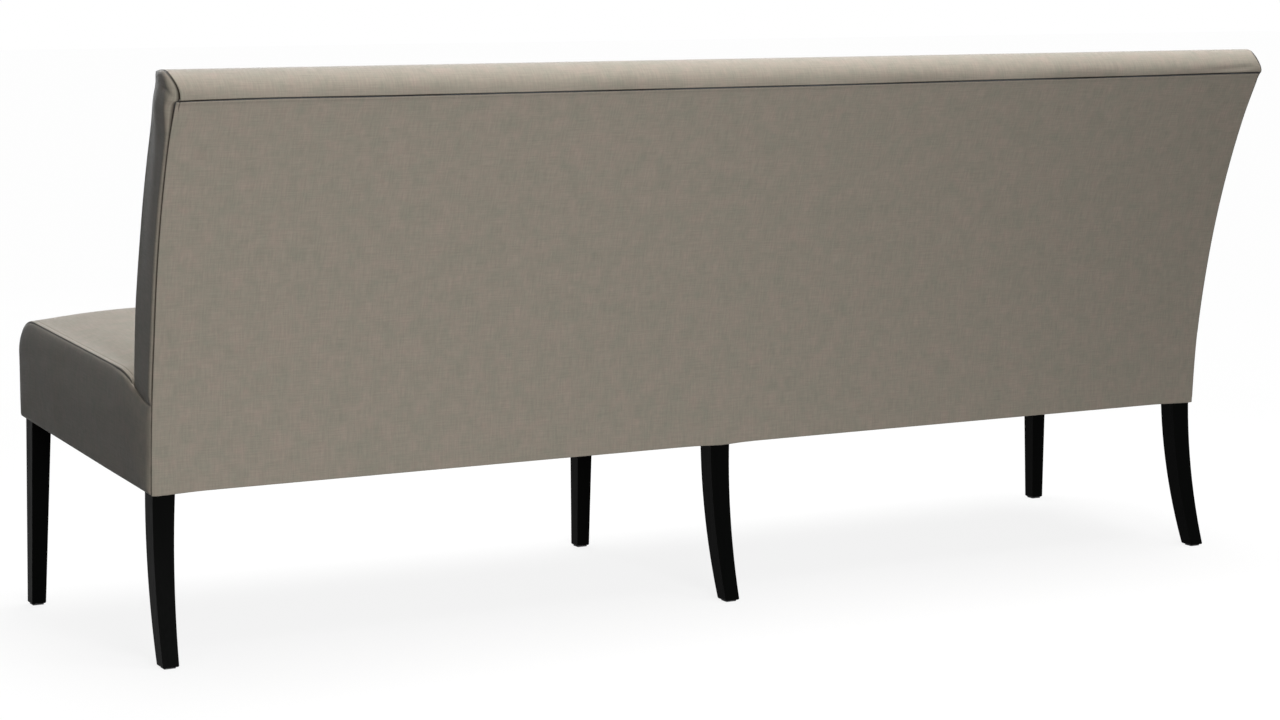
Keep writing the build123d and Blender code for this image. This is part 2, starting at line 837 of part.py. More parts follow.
def build():
    nodes = {}
    names = {-1: "left", 0: "centre", 1: "right"}
    front_span = bay(front_leg_x, front_leg_side)
    rear_span = bay(post_outer_x, rear_leg_width)
    rear_y = rear_rail_y()

    # Tongues that the mortises in the legs are cut for
    tongues = []
    for side in sides:
        for span, y in ((front_span, leg_front_y), (rear_span, rear_y)):
            tongue = long_tenon(span, y, tenon_length + mortise_room)
            tongues.append(tongue if side > 0 else mirror(tongue, Plane.YZ))
        end_tongue = cross_tenon(True, tenon_length + mortise_room)
        tongues.append(end_tongue if side > 0 else mirror(end_tongue, Plane.YZ))
        for middle in back_rail_places:
            tongue = back_rail_tenon(middle, tenon_length + mortise_room)
            tongues.append(tongue if side > 0 else mirror(tongue, Plane.YZ))
    tongues.append(cross_tenon(False, tenon_length + mortise_room))

    for side, name in names.items():
        nodes[f"front_leg_{name}"] = front_leg(side)
        nodes[f"rear_leg_{name}"] = rear_leg(side)
    for name in list(nodes):
        for tongue in tongues:
            nodes[name] = nodes[name] - tongue
    nodes["foot_pads"] = foot_pads()

    for side in sides:
        name = names[side]
        nodes[f"front_rail_{name}"] = long_rail(front_span, leg_front_y, side)
        nodes[f"rear_rail_{name}"] = long_rail(rear_span, rear_y, side)
        nodes[f"end_rail_{name}"] = cross_rail(True, side)
        nodes[f"back_lower_rail_{name}"] = back_rail(back_rail_places[0], side)
        nodes[f"back_middle_rail_{name}"] = back_rail(back_rail_places[1], side)
    nodes["middle_rail"] = cross_rail(False, 1)
    nodes["back_top_rail"] = top_rail()

    screw_set = screws()
    blocks = corner_blocks()
    for tool in screw_set:
        blocks = [piece - tool for piece in blocks]
        for side in sides:
            for rail in ("front_rail", "rear_rail"):
                key = f"{rail}_{names[side]}"
                nodes[key] = nodes[key] - tool
    nodes["corner_blocks"] = blocks
    nodes["corner_block_screws"] = screw_set

    nodes["seat_cross_straps"] = cross_straps()
    nodes["seat_long_straps"] = lengthwise_straps()
    nodes["back_straps"] = back_straps()
    nodes["back_board"] = back_board()

    nodes["dust_cover"] = dust_cover()
    nodes["seat_foam"] = seat_foam()
    nodes["seat_top_cover"] = seat_top_cover()
    nodes["back_foam"] = back_foam()
    nodes["back_front_cover"] = back_front_cover()
    nodes["back_rear_panel"] = back_rear_panel()
    for side in sides:
        nodes[f"seat_end_panel_{names[side]}"] = seat_end_panel(side)
        nodes[f"back_end_strip_{names[side]}"] = back_end_strip(side)
    return nodes


def write(nodes):
    os.makedirs("parts", exist_ok=True)
    for name, shape in nodes.items():
        pieces = shape if isinstance(shape, list) else [shape]
        solids = [solid for piece in pieces for solid in piece.solids()]
        whole = solids[0] if len(solids) == 1 else Compound(children=solids)
        whole.label = name
        export_step(whole, f"parts/{name}.step")


write(build())
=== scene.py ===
import math

import bmesh
import bpy
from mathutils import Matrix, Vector, noise


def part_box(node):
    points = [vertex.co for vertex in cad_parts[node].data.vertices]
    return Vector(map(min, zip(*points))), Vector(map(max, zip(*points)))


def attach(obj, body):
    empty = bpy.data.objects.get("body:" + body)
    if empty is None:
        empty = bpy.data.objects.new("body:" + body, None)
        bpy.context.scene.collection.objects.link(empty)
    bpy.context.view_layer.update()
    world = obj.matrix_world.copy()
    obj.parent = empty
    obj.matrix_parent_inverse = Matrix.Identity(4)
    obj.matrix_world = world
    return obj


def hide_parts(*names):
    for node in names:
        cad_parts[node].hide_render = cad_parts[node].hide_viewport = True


bl_info = {
    "name": "Upholstered dining bench",
    "version": (1, 0, 0),
    "blender": (4, 5, 0),
    "location": "3D View > Sidebar > Bench",
    "description": "Dresses a long dining bench: padded seat and back, satin cover, black legs",
    "category": "Object",
}

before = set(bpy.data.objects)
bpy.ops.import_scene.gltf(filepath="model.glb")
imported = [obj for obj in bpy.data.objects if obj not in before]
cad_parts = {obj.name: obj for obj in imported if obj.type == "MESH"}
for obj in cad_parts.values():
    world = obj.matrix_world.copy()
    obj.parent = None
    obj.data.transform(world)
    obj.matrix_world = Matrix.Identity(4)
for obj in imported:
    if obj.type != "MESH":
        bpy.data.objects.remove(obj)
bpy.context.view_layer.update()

# Places of the covers, in metres, read from the frame's own boxes
panel_low, panel_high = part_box("back_rear_panel")
seat_low, seat_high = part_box("seat_top_cover")
back_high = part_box("back_front_cover")[1]
half_back = panel_high.x
half_front = seat_high.x
bench_height = back_high.z
front_y = seat_low.y
back_foot_y = panel_low.y
seat_depth = back_foot_y - front_y
flare = (half_front - half_back) / seat_depth
cover_bottom_rear = panel_low.z
cover_bottom_front = seat_low.z
bottom_slope = (cover_bottom_front - cover_bottom_rear) / seat_depth
top_seam_z = panel_high.z

# Seat's section
seat_front_z = 0.480
seat_rear_z = 0.446
seat_crown = 0.011
seat_roll = 0.060
front_tuck = 0.002
dip_start = 0.111
dip_end = 0.024
dip_middle = 0.012
seat_tail = 0.044
crown_run = 0.170

# Back's section, as arcs seen from the end
rear_radius = 1.435
rear_centre_z = cover_bottom_rear - 0.048
rear_centre_y = back_foot_y + rear_radius
front_radius = 1.510
front_centre_y = back_foot_y - 0.0585 + front_radius
front_centre_z = cover_bottom_rear + 0.047
back_low_z = 0.400
back_bulge = 0.008
roll_radius = 0.045
roll_y = panel_high.y + 0.0068 - roll_radius
corner_drop = 0.019
corner_radius = 0.014
corner_sag = 0.003
board_radius = rear_radius + 0.003
webbing_radius = rear_radius + 0.0415
rail_top = 0.084
back_rail_top_z = 0.870

# Covers and their seams
cover = 0.004
end_cover_wall = 0.0022
panel_cover_wall = 0.0018
floor_gap = 0.002
pad_gap = 0.0006
pad_end_x = 0.0004
# Distance over which the painted seam shade fades away from a seam
seam_shade_fade = 0.0005
lip_depth = 0.0032
lip_turn = 0.0008
seam_gap = 0.0020
seat_edge_radius = 0.0013
back_edge_radius = 0.0012
felled_inset = 0.0022
felled_width = 0.0065
groove_depth = 0.0007
groove_width = 0.0006
roll_tuck = 0.0040
roll_tuck_z = 0.886

# Steps round the outlines: the seat's front rise, and the back's front, corner, crown and roll
rise_steps = 8
front_steps = 26
corner_steps = 6
crown_steps = 5
roll_steps = 18
corner_share = 0.44
close_steps = (0.0, 0.0003, 0.0010, 0.0022, 0.0039, 0.0062, 0.0090)
end_steps = (
    (0.0, 0.0005, 0.0012, 0.0022, 0.0034, 0.0048, 0.0059, 0.0065, 0.0071, 0.0082)
    + (0.0105, 0.015, 0.022, 0.032, 0.046, 0.065, 0.09, 0.118, 0.145)
)
middle_steps = 44

# Both ends by side: the right end is the one sewn less evenly, and the values by side say how
both_ends = ((-1, "left"), (1, "right"))
arc_seam_reach = {
    -1: (
        ((0.0, -0.0006), (0.10, 0.0), (0.20, 0.0012), (0.3, 0.0030), (0.4, 0.0058), (0.48, 0.0068))
        + ((0.55, 0.0050), (0.60, 0.0022), (0.66, 0.0002), (0.74, -0.0004), (0.82, 0.0004))
        + ((0.89, 0.0030), (0.95, 0.0046), (1.0, 0.0050))
    ),
    1: (
        ((0.0, -0.0075), (0.05, -0.0064), (0.12, -0.0044), (0.20, -0.0018), (0.28, 0.0022))
        + ((0.36, 0.0058), (0.50, 0.0078), (0.62, 0.0072), (0.74, 0.0042), (0.84, 0.0008))
        + ((0.92, -0.0014), (1.0, -0.0022))
    ),
}
rear_seam_sway = {
    -1: (
        ((0.262, 0.0002), (0.40, 0.0008), (0.50, 0.0018), (0.75, 0.0026), (0.80, 0.0030))
        + ((0.85, 0.0052), (0.865, 0.0048))
    ),
    1: (
        ((0.262, -0.0026), (0.50, -0.0023), (0.60, 0.0), (0.70, 0.0020), (0.80, 0.0035))
        + ((0.85, 0.0025), (0.8625, 0.0022), (0.865, -0.0022))
    ),
}
rear_seam_rise = (
    ((-1.0, 0.0036), (-0.93, 0.0034), (-0.67, 0.0016), (-0.42, 0.0010), (-0.18, -0.0004))
    + ((0.26, -0.0009), (0.67, -0.0010), (0.86, 0.0), (0.97, -0.0012), (1.0, -0.0020))
)
front_edge_lean = (
    ((0.55, 0.0041), (0.60, 0.0030), (0.65, 0.0019), (0.70, 0.0013), (0.75, 0.0003))
    + ((0.78, -0.0003), (0.80, -0.0008), (0.82, -0.0016), (0.835, -0.0026), (0.85, -0.0041))
    + ((0.865, -0.0055), (0.88, -0.0064), (0.90, -0.0068), (1.0, -0.0068))
)
lean_share = {-1: 0.0, 1: 1.0}
end_pillow = {-1: 0.0010, 1: 0.0056}
roll_end_draw = {-1: 0.0, 1: 0.0040}
roll_end_z = 0.860
pleat_gape = {-1: 0.0, 1: 0.0016}
arc_fullness = {-1: 0.0010, 1: 0.0105}

# Camera
camera_place = (2.4899, 4.4087, 1.0660)
camera_yaw = math.radians(28.9)
camera_pitch = math.radians(7.69)
camera_lens = 83.62
sensor_width = 36.0


# Sizes and colours that a user would change


def colour_choice(name, description, default):
    return bpy.props.FloatVectorProperty(
        name=name, description=description, subtype="COLOR", size=3, min=0.0, max=1.0, default=default
    )


def length_choice(name, description, low, high, default):
    return bpy.props.FloatProperty(
        name=name,
        description=description,
        subtype="DISTANCE",
        unit="LENGTH",
        min=low,
        max=high,
        default=default,
    )


def power_choice(name, description, default):
    return bpy.props.FloatProperty(
        name=name, description=description, unit="POWER", min=0.0, max=500.0, default=default
    )


def strength_choice(name, description, high, default):
    return bpy.props.FloatProperty(name=name, description=description, min=0.0, max=high, default=default)


class BenchCover(bpy.types.PropertyGroup):
    """Fabric of the seat and the back."""

    colour: colour_choice("Satin colour", "Plain colour of the cover", (0.232, 0.207, 0.170))
    warm: colour_choice("Warm threads", "Colour of the warmer threads", (0.256, 0.214, 0.179))
    cool: colour_choice("Cool threads", "Colour of the cooler threads", (0.208, 0.197, 0.160))
    thread: length_choice("Thread pitch", "Distance from one thread to the next", 0.0003, 0.01, 0.0016)
    swell: length_choice("Most swelling", "How far the cover may rise over its padding", 0.0, 0.03, 0.005)
    pressure: strength_choice("Padding pressure", "Pressure of the padding against the cover", 20.0, 4.0)


class BenchWood(bpy.types.PropertyGroup):
    """Wood of the legs and the hidden frame."""

    lacquer: colour_choice("Leg lacquer", "Colour of the legs", (0.0009, 0.0010, 0.0009))
    beech: colour_choice("Beech", "Colour of the rails", (0.56, 0.37, 0.22))


class BenchStudio(bpy.types.PropertyGroup):
    """Light on the bench."""

    top_light: power_choice("Top light", "Power of the soft light above", 191.0)
    rear_light: power_choice("Rear light", "Power of the soft light on the rear panel", 145.0)
    front_light: power_choice("Front light", "Power of the soft light on the front", 30.0)
    side_light: power_choice("Side light", "Power of the soft light on the near end", 5.0)
    air: strength_choice("Even light", "Strength of the light from all round", 2.0, 0.012)


# Curves that the covers follow


def clamped(value):
    """The value kept between 0 and 1."""
    return min(1.0, max(0.0, value))


def eased(value):
    """0 below 0, 1 above 1, and smooth between."""
    value = clamped(value)
    return value * value * (3 - 2 * value)


def bell(value, middle, width):
    """1 at the middle, falling smoothly to 0 on both sides of it."""
    return math.exp(-(((value - middle) / width) ** 2))


def step_through(table, share):
    """Value of a table of (place, value) pairs at a place, by straight runs."""
    if share <= table[0][0]:
        return table[0][1]
    for (a, first), (b, second) in zip(table, table[1:]):
        if share <= b:
            return first + (second - first) * (share - a) / (b - a)
    return table[-1][1]


def height_at(line, y):
    """Height of a line of points, which run on in Y, at a depth."""
    for (ay, az), (by, bz) in zip(line, line[1:]):
        if ay <= y <= by and by > ay:
            return az + (bz - az) * (y - ay) / (by - ay)
    return line[0][1] if y < line[0][0] else line[-1][1]


def point_along(line, share):
    """A point part of the way along a line of points."""
    place = share * (len(line) - 1)
    index = min(int(place), len(line) - 2)
    return tuple(a + (b - a) * (place - index) for a, b in zip(line[index], line[index + 1]))


def close_in(low, high, steps):
    """Places from low to high with the close steps at both ends and even ones between."""
    inner_low, inner_high = low + close_steps[-1], high - close_steps[-1]
    places = [low + d for d in close_steps]
    places += [inner_low + (inner_high - inner_low) * k / steps for k in range(1, steps)]
    return places + [high - d for d in reversed(close_steps)]


def end_x(y):
    """Half length of the seat at a depth."""
    return half_back + flare * (back_foot_y - y)


def bottom_z(y):
    """Height of the cover's lower edge at a depth."""
    return cover_bottom_rear + bottom_slope * (back_foot_y - y)


def arc_y(z, radius):
    """Y of the back's rear arc at a height."""
    return rear_centre_y - math.sqrt(radius**2 - (z - rear_centre_z) ** 2)


def front_arc_y(z, forward):
    """Y of the back's front face at a height."""
    return front_centre_y - math.sqrt(front_radius**2 - (z - front_centre_z) ** 2) - forward


def line_points(a, b, steps):
    return [(a[0] + (b[0] - a[0]) * k / steps, a[1] + (b[1] - a[1]) * k / steps) for k in range(steps)]


def arc_points(a, m, b, steps):
    """Points on the circle through a, m and b, from a on, without b."""
    (ax, ay), (mx, my), (bx, by) = a, m, b
    d = 2 * (ax * (my - by) + mx * (by - ay) + bx * (ay - my))
    if abs(d) < 1e-12:
        return line_points(a, b, steps)
    a2, m2, b2 = ax * ax + ay * ay, mx * mx + my * my, bx * bx + by * by
    cx = (a2 * (my - by) + m2 * (by - ay) + b2 * (ay - my)) / d
    cy = (a2 * (bx - mx) + m2 * (ax - bx) + b2 * (mx - ax)) / d
    radius = math.hypot(ax - cx, ay - cy)
    start = math.atan2(ay - cy, ax - cx)
    middle = (math.atan2(my - cy, mx - cx) - start) % math.tau
    turn = (math.atan2(by - cy, bx - cx) - start) % math.tau
    if middle > turn:
        turn -= math.tau
    return [
        (cx + radius * math.cos(start + turn * k / steps), cy + radius * math.sin(start + turn * k / steps))
        for k in range(steps)
    ]


def seat_outline(share, inset):
    """The seat's cover in Y and Z, from the front's lower edge over the top to the tail."""
    crown = seat_crown * (1 - share)
    y0 = front_y + inset
    y_tail = back_foot_y - seat_tail
    y_dip = back_foot_y - dip_start
    z_dip = seat_rear_z + crown - inset
    z_front = seat_front_z + crown - inset
    radius = seat_roll - inset
    slope = math.atan2(z_front - z_dip, y_dip - y0)
    reach = radius / math.tan((math.pi / 2 - slope) / 2)
    roll_start = (y0, z_front - reach + radius * math.tan(slope))
    roll_end = (y0 + reach * math.cos(slope), roll_start[1] + reach - reach * math.sin(slope))
    turn = (math.pi / 2 + slope) / 2
    roll_middle = (y0 + radius - radius * math.cos(turn), roll_start[1] + radius * math.sin(turn))
    dip = dip_middle + (dip_end - dip_middle) * share
    hang = math.tan(slope) * (y_tail - y_dip)
    meet = front_arc_y(back_low_z + 0.022, back_bulge * (1 - share)) - 0.0006
    dips = []
    for k in range(7):
        t = k / 6 * (meet - y_dip) / (y_tail - y_dip)
        dips.append((y_dip + t * (y_tail - y_dip), z_dip - hang * t - (dip - hang) * t * t))
    bottom = (y0 + front_tuck, bottom_z(front_y) + inset * 0.25)
    points = line_points(bottom, roll_start, rise_steps)
    points += arc_points(roll_start, roll_middle, roll_end, 12)
    points += line_points(roll_end, (y_dip, z_dip), 22)
    return points + dips


def back_outline(share, inset):
    """The back's cover in Y and Z, from the front's low edge over the top to the rear seam."""
    forward = back_bulge * (1 - share)
    front_top = bench_height - corner_drop - inset
    seam = top_seam_z
    middle = (back_low_z + front_top) / 2
    radius = roll_radius - inset
    roll_z = bench_height - roll_radius
    rise = seam - roll_z
    roll_seam = (roll_y + math.sqrt(max(radius**2 - rise**2, 0)), seam)
    turn = math.pi / 4 + math.asin(rise / radius) / 2
    roll_bend = (roll_y + radius * math.cos(turn), roll_z + radius * math.sin(turn))
    roll_top = (roll_y, roll_z + radius)
    corner_low = (front_arc_y(front_top, forward) + inset, front_top)
    corner_top = (corner_low[0] + corner_radius, roll_z + roll_radius - inset - corner_sag)
    bevel = corner_radius * (1 - math.cos(math.pi / 4))
    corner_bend = (corner_low[0] + bevel, corner_top[1] - bevel)
    crown_bend = ((roll_top[0] + corner_top[0]) / 2, (roll_top[1] + corner_top[1]) / 2 + corner_sag / 4)
    low = (front_arc_y(back_low_z, forward) + inset, back_low_z)
    front_bend = (front_arc_y(middle, forward) + inset, middle)
    points = arc_points(low, front_bend, corner_low, front_steps)
    points += arc_points(corner_low, corner_bend, corner_top, corner_steps)
    points += arc_points(corner_top, crown_bend, roll_top, crown_steps)
    points += arc_points(roll_top, roll_bend, roll_seam, roll_steps)
    for z in (seam + 0.0020, seam + 0.0007):
        points.append((roll_y + math.sqrt(max(radius**2 - (z - roll_z) ** 2, 0)), z))
    return points + [roll_seam]


def outline_share(k):
    """Share of the way from the front corner to the rear seam at the k-th point past the corner."""
    turned = k - corner_steps - crown_steps
    if turned <= 0:
        return corner_share * (k / (corner_steps + crown_steps))
    if turned < roll_steps:
        return corner_share + (1 - corner_share) * turned / roll_steps
    return (0.985, 0.995, 1.0)[min(turned - roll_steps, 2)]


def arc_reach(side, share):
    """How far an end's arc seam lies past the end of the back, by its share of the way to the rear."""
    return step_through(arc_seam_reach[side], share)


def rear_sway(side, z):
    """How far an end's rear seam lies past the end of the back at a height."""
    return step_through(rear_seam_sway[side], z)


def edge_lean(side, z):
    """How far the front edge of an end leans out or in at a height."""
    return step_through(front_edge_lean, z) * lean_share[side]


def seam_rise(x, z):
    """How far the roll's rear seam lies above its even height, with the cover near it."""
    return step_through(rear_seam_rise, x) * math.exp(-abs(z - top_seam_z) / 0.012)


def ripple(x, y, z):
    """A smooth unevenness between about -1 and 1, the same each time at the same place."""
    return noise.noise(Vector((x, y, z)))


def roll_tuck_in(x, z):
    """How far the roll's cover is drawn in above the rear seam, more in some places than in others."""
    low = clamped((roll_tuck_z - z) / (roll_tuck_z - top_seam_z)) ** 2
    pull = 0.75 + 1.1 * ripple(x * 5.5, 3.0, 8.0) + 0.5 * ripple(x * 17.0, 5.0, 2.0)
    pucker = 0.0018 * bell(z, 0.8745 - 0.05 * (x + 0.95), 0.0042)
    pucker *= eased((-0.885 - x) / 0.03) * eased((x + 0.997) / 0.02)
    return roll_tuck * low * max(pull, 0.1) + pucker


# Mesh tools


def lattice(name, rows, columns, point, closed=False, seam=None):
    """A mesh from a grid of rows by columns, moved to point(row, column).

    The flat pattern of the cover becomes its UV map, and seam(row, column), a distance
    from the nearest seam, becomes the Seam attribute: painted shade that the cover's material lays along its
    seams.
    """
    bm = bmesh.new()
    bmesh.ops.create_grid(bm, x_segments=rows - 1, y_segments=columns - 1, size=0.5)
    places = {}
    seam_shade = bm.verts.layers.float.new("Seam")
    for v in bm.verts:
        i = round((v.co.x + 0.5) * (rows - 1))
        j = round((v.co.y + 0.5) * (columns - 1))
        places[v] = (i, j)
        v.co = Vector(point(i, j))
        if seam is not None:
            # Painted seam shade: 1 at a seam, fading away from it
            v[seam_shade] = math.exp(-max(seam(i, j), 0.0) / seam_shade_fade)
    at = {key: v.co.copy() for v, key in places.items()}
    mid_i, mid_j = rows // 2, columns // 2
    along, across = [0.0], [0.0]
    for i in range(1, rows):
        along.append(along[-1] + (at[i, mid_j] - at[i - 1, mid_j]).length)
    for j in range(1, columns):
        across.append(across[-1] + (at[mid_i, j] - at[mid_i, j - 1]).length)
    uv = bm.loops.layers.uv.new("Pattern")
    for face in bm.faces:
        for loop in face.loops:
            i, j = places[loop.vert]
            loop[uv].uv = (along[i], across[j])
    if closed:
        bmesh.ops.remove_doubles(bm, verts=bm.verts[:], dist=1e-6)
        rim = [e for e in bm.edges if e.is_boundary]
        bmesh.ops.holes_fill(bm, edges=rim, sides=0)
    return bm


def turn_in(bm, inward):
    """Turns a cover's edge in at its seams: inward(place) gives the step that the folded edge takes."""
    seam_shade = bm.verts.layers.float["Seam"]
    rim = [e for e in bm.edges if e.is_boundary]
    made = bmesh.ops.extrude_edge_only(bm, edges=rim)["geom"]
    for v in made:
        if isinstance(v, bmesh.types.BMVert):
            v.co = v.co + Vector(inward(v.co))
            # The folded edge is painted in full seam shade
            v[seam_shade] = 1.0


def toward_middle(at, side, middle_y, middle_z):
    """Step of an end cover's folded edge: in from its face, and a little towards its middle."""
    turn = Vector((0.0, middle_y - at.y, middle_z - at.z)).normalized() * lip_turn
    return (-side * lip_depth, turn.y, turn.z)


def edge_fall(distance, radius, rise):
    """How far a cover falls away towards its seam, as a quarter round."""
    if distance >= radius:
        return 0.0
    return rise * (1.0 - math.sqrt(max(1.0 - (1.0 - max(distance, 0.0) / radius) ** 2, 0.0)))


def border_distance(place, border):
    """Distance from a place to each stretch of a border, as (distance, radius, X of the seam there)."""
    found = []
    for points, radius in border:
        nearest, reach = 1.0, 0.0
        for a, b in zip(points, points[1:]):
            dy, dz = b[0] - a[0], b[1] - a[1]
            span = dy * dy + dz * dz
            share = 0.0
            if span > 0:
                share = clamped(((place[0] - a[0]) * dy + (place[1] - a[1]) * dz) / span)
            away = math.hypot(place[0] - a[0] - share * dy, place[1] - a[1] - share * dz)
            if away < nearest:
                nearest = away
                reach = a[2] + (b[2] - a[2]) * share if len(a) > 2 else 0.0
        found.append((nearest, radius, reach))
    return found


def add_piece(name, bm, material, stands_for=(), outward=None):
    """A finished piece on the root body, with its faces turned outward."""
    if outward is None:
        bmesh.ops.recalc_face_normals(bm, faces=bm.faces[:])
    else:
        bm.normal_update()
        facing = sum((f.normal.dot(Vector(outward)) * f.calc_area() for f in bm.faces))
        if facing < 0:
            bmesh.ops.reverse_faces(bm, faces=bm.faces[:])
    mesh = bpy.data.meshes.new(name)
    bm.to_mesh(mesh)
    bm.free()
    mesh.polygons.foreach_set("use_smooth", [True] * len(mesh.polygons))
    piece = bpy.data.objects.new(name, mesh)
    bpy.context.scene.collection.objects.link(piece)
    piece.data.materials.append(material)
    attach(piece, "root")
    if stands_for:
        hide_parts(*stands_for)
    return piece


def soften(piece, levels=1):
    rounded = piece.modifiers.new("Rounded", "SUBSURF")
    rounded.levels = levels
    rounded.render_levels = levels
    rounded.boundary_smooth = "PRESERVE_CORNERS"


def thicken(piece, thickness):
    wall = piece.modifiers.new("Cloth thickness", "SOLIDIFY")
    wall.thickness = thickness
    wall.offset = -1.0
    wall.use_even_offset = False


def add_cover(name, bm, stands_for, outward=None):
    """A piece in the satin cover."""
    return add_piece(name, bm, satin_material(), stands_for=stands_for, outward=outward)


def add_end_cover(name, bm, stands_for, side):
    """A lightly padded cover at one end."""
    piece = add_cover(name, bm, (stands_for,), outward=(side, 0, 0))
    thicken(piece, end_cover_wall)
    soften(piece)


# Materials


def node(tree, kind, x, y, **settings):
    made = tree.nodes.new(kind)
    made.location = (x, y)
    for key, value in settings.items():
        setattr(made, key, value)
    return made


def new_material(name):
    made = bpy.data.materials.new(name)
    made.use_nodes = True
    tree = made.node_tree
    shader = tree.nodes["Principled BSDF"]
    return made, tree, shader


def math_node(tree, operation, x, y, first, second=None):
    made = node(tree, "ShaderNodeMath", x, y, operation=operation)
    for socket, value in zip(made.inputs, (first, second)):
        if value is None:
            continue
        if isinstance(value, (int, float)):
            socket.default_value = value
        else:
            tree.links.new(value, socket)
    return made.outputs[0]


def group_sockets(tree, inputs, outputs):
    for name, kind, value in inputs:
        socket = tree.interface.new_socket(name, in_out="INPUT", socket_type=kind)
        if value is not None:
            socket.default_value = value
    for name, kind in outputs:
        tree.interface.new_socket(name, in_out="OUTPUT", socket_type=kind)
    return tree.nodes.new("NodeGroupInput"), tree.nodes.new("NodeGroupOutput")


def noise_node(tree, x, y, place, scale, detail, **more):
    made = node(tree, "ShaderNodeTexNoise", x, y)
    for name, value in (("Scale", scale), ("Detail", detail), *more.items()):
        made.inputs[name].default_value = value
    tree.links.new(place, made.inputs["Vector"])
    return made.outputs["Fac"]


def map_range(tree, x, y, source, first, second):
    """Maps a value from the first range to the second."""
    made = node(tree, "ShaderNodeMapRange", x, y)
    for name, value in zip(("From Min", "From Max", "To Min", "To Max"), (*first, *second)):
        made.inputs[name].default_value = value
    tree.links.new(source, made.inputs["Value"])
    return made.outputs["Result"]


def ramp(tree, x, y, source, stops):
    made = node(tree, "ShaderNodeValToRGB", x, y)
    band = made.color_ramp
    while len(band.elements) < len(stops):
        band.elements.new(0.5)
    for element, (place, colour) in zip(band.elements, stops):
        element.position = place
        element.color = (*colour, 1.0)
    tree.links.new(source, made.inputs["Fac"])
    return made.outputs["Color"]


def multiplied(tree, x, y, first, second):
    made = node(tree, "ShaderNodeMix", x, y, data_type="RGBA", blend_type="MULTIPLY")
    made.inputs["Factor"].default_value = 1.0
    tree.links.new(first, made.inputs["A"])
    tree.links.new(second, made.inputs["B"])
    return made.outputs["Result"]


def relief(tree, shader, height, strength, depth):
    """Raises and lowers the surface a little by a height from 0 to 1."""
    bump = node(tree, "ShaderNodeBump", -250, -300)
    bump.inputs["Strength"].default_value = strength
    bump.inputs["Distance"].default_value = depth
    tree.links.new(height, bump.inputs["Height"])
    tree.links.new(bump.outputs["Normal"], shader.inputs["Normal"])


def satin_group():
    """Woven satin: crossing threads with slubs, as a height and as two masks for its colours."""
    if "Satin weave" in bpy.data.node_groups:
        return bpy.data.node_groups["Satin weave"]
    tree = bpy.data.node_groups.new("Satin weave", "ShaderNodeTree")
    sockets = [("Pattern", "NodeSocketVector", None), ("Place", "NodeSocketVector", None)]
    start, end = group_sockets(
        tree,
        [*sockets, ("Pitch", "NodeSocketFloat", 0.0016)],
        [("Height", "NodeSocketFloat"), ("Slub", "NodeSocketFloat"), ("Mottle", "NodeSocketFloat")],
    )
    parts = node(tree, "ShaderNodeSeparateXYZ", -900, 0)
    tree.links.new(start.outputs["Pattern"], parts.inputs[0])
    waves = []
    for axis, y in ((0, 200), (1, -100)):
        turns = math_node(tree, "DIVIDE", -700, y, parts.outputs[axis], start.outputs["Pitch"])
        angle = math_node(tree, "MULTIPLY", -540, y, turns, math.tau)
        waves.append(math_node(tree, "SINE", -380, y, angle))
    crossing = math_node(tree, "MULTIPLY", -200, 60, waves[0], waves[1])
    along_slubs, across_slubs = (28.0, 620.0, 1.0), (420.0, 34.0, 1.0)
    slubs = []
    for scales, y in ((along_slubs, -300), (across_slubs, -600)):
        stretch = node(tree, "ShaderNodeMapping", -700, y, vector_type="POINT")
        stretch.inputs["Scale"].default_value = scales
        tree.links.new(start.outputs["Pattern"], stretch.inputs["Vector"])
        slubs.append(noise_node(tree, -500, y, stretch.outputs[0], 1.0, 2.0))
    slub = math_node(tree, "ADD", -260, -450, slubs[0], slubs[1])
    slub_half = math_node(tree, "MULTIPLY", -100, -450, slub, 0.5)
    fine = math_node(tree, "MULTIPLY", -40, 60, crossing, 0.25)
    height = math_node(tree, "ADD", 100, 0, fine, slub_half)
    cloudy = noise_node(tree, -500, -900, start.outputs["Place"], 36.0, 6.0, Roughness=0.74)
    for value, name in ((height, "Height"), (slub_half, "Slub"), (cloudy, "Mottle")):
        tree.links.new(value, end.inputs[name])
    return tree


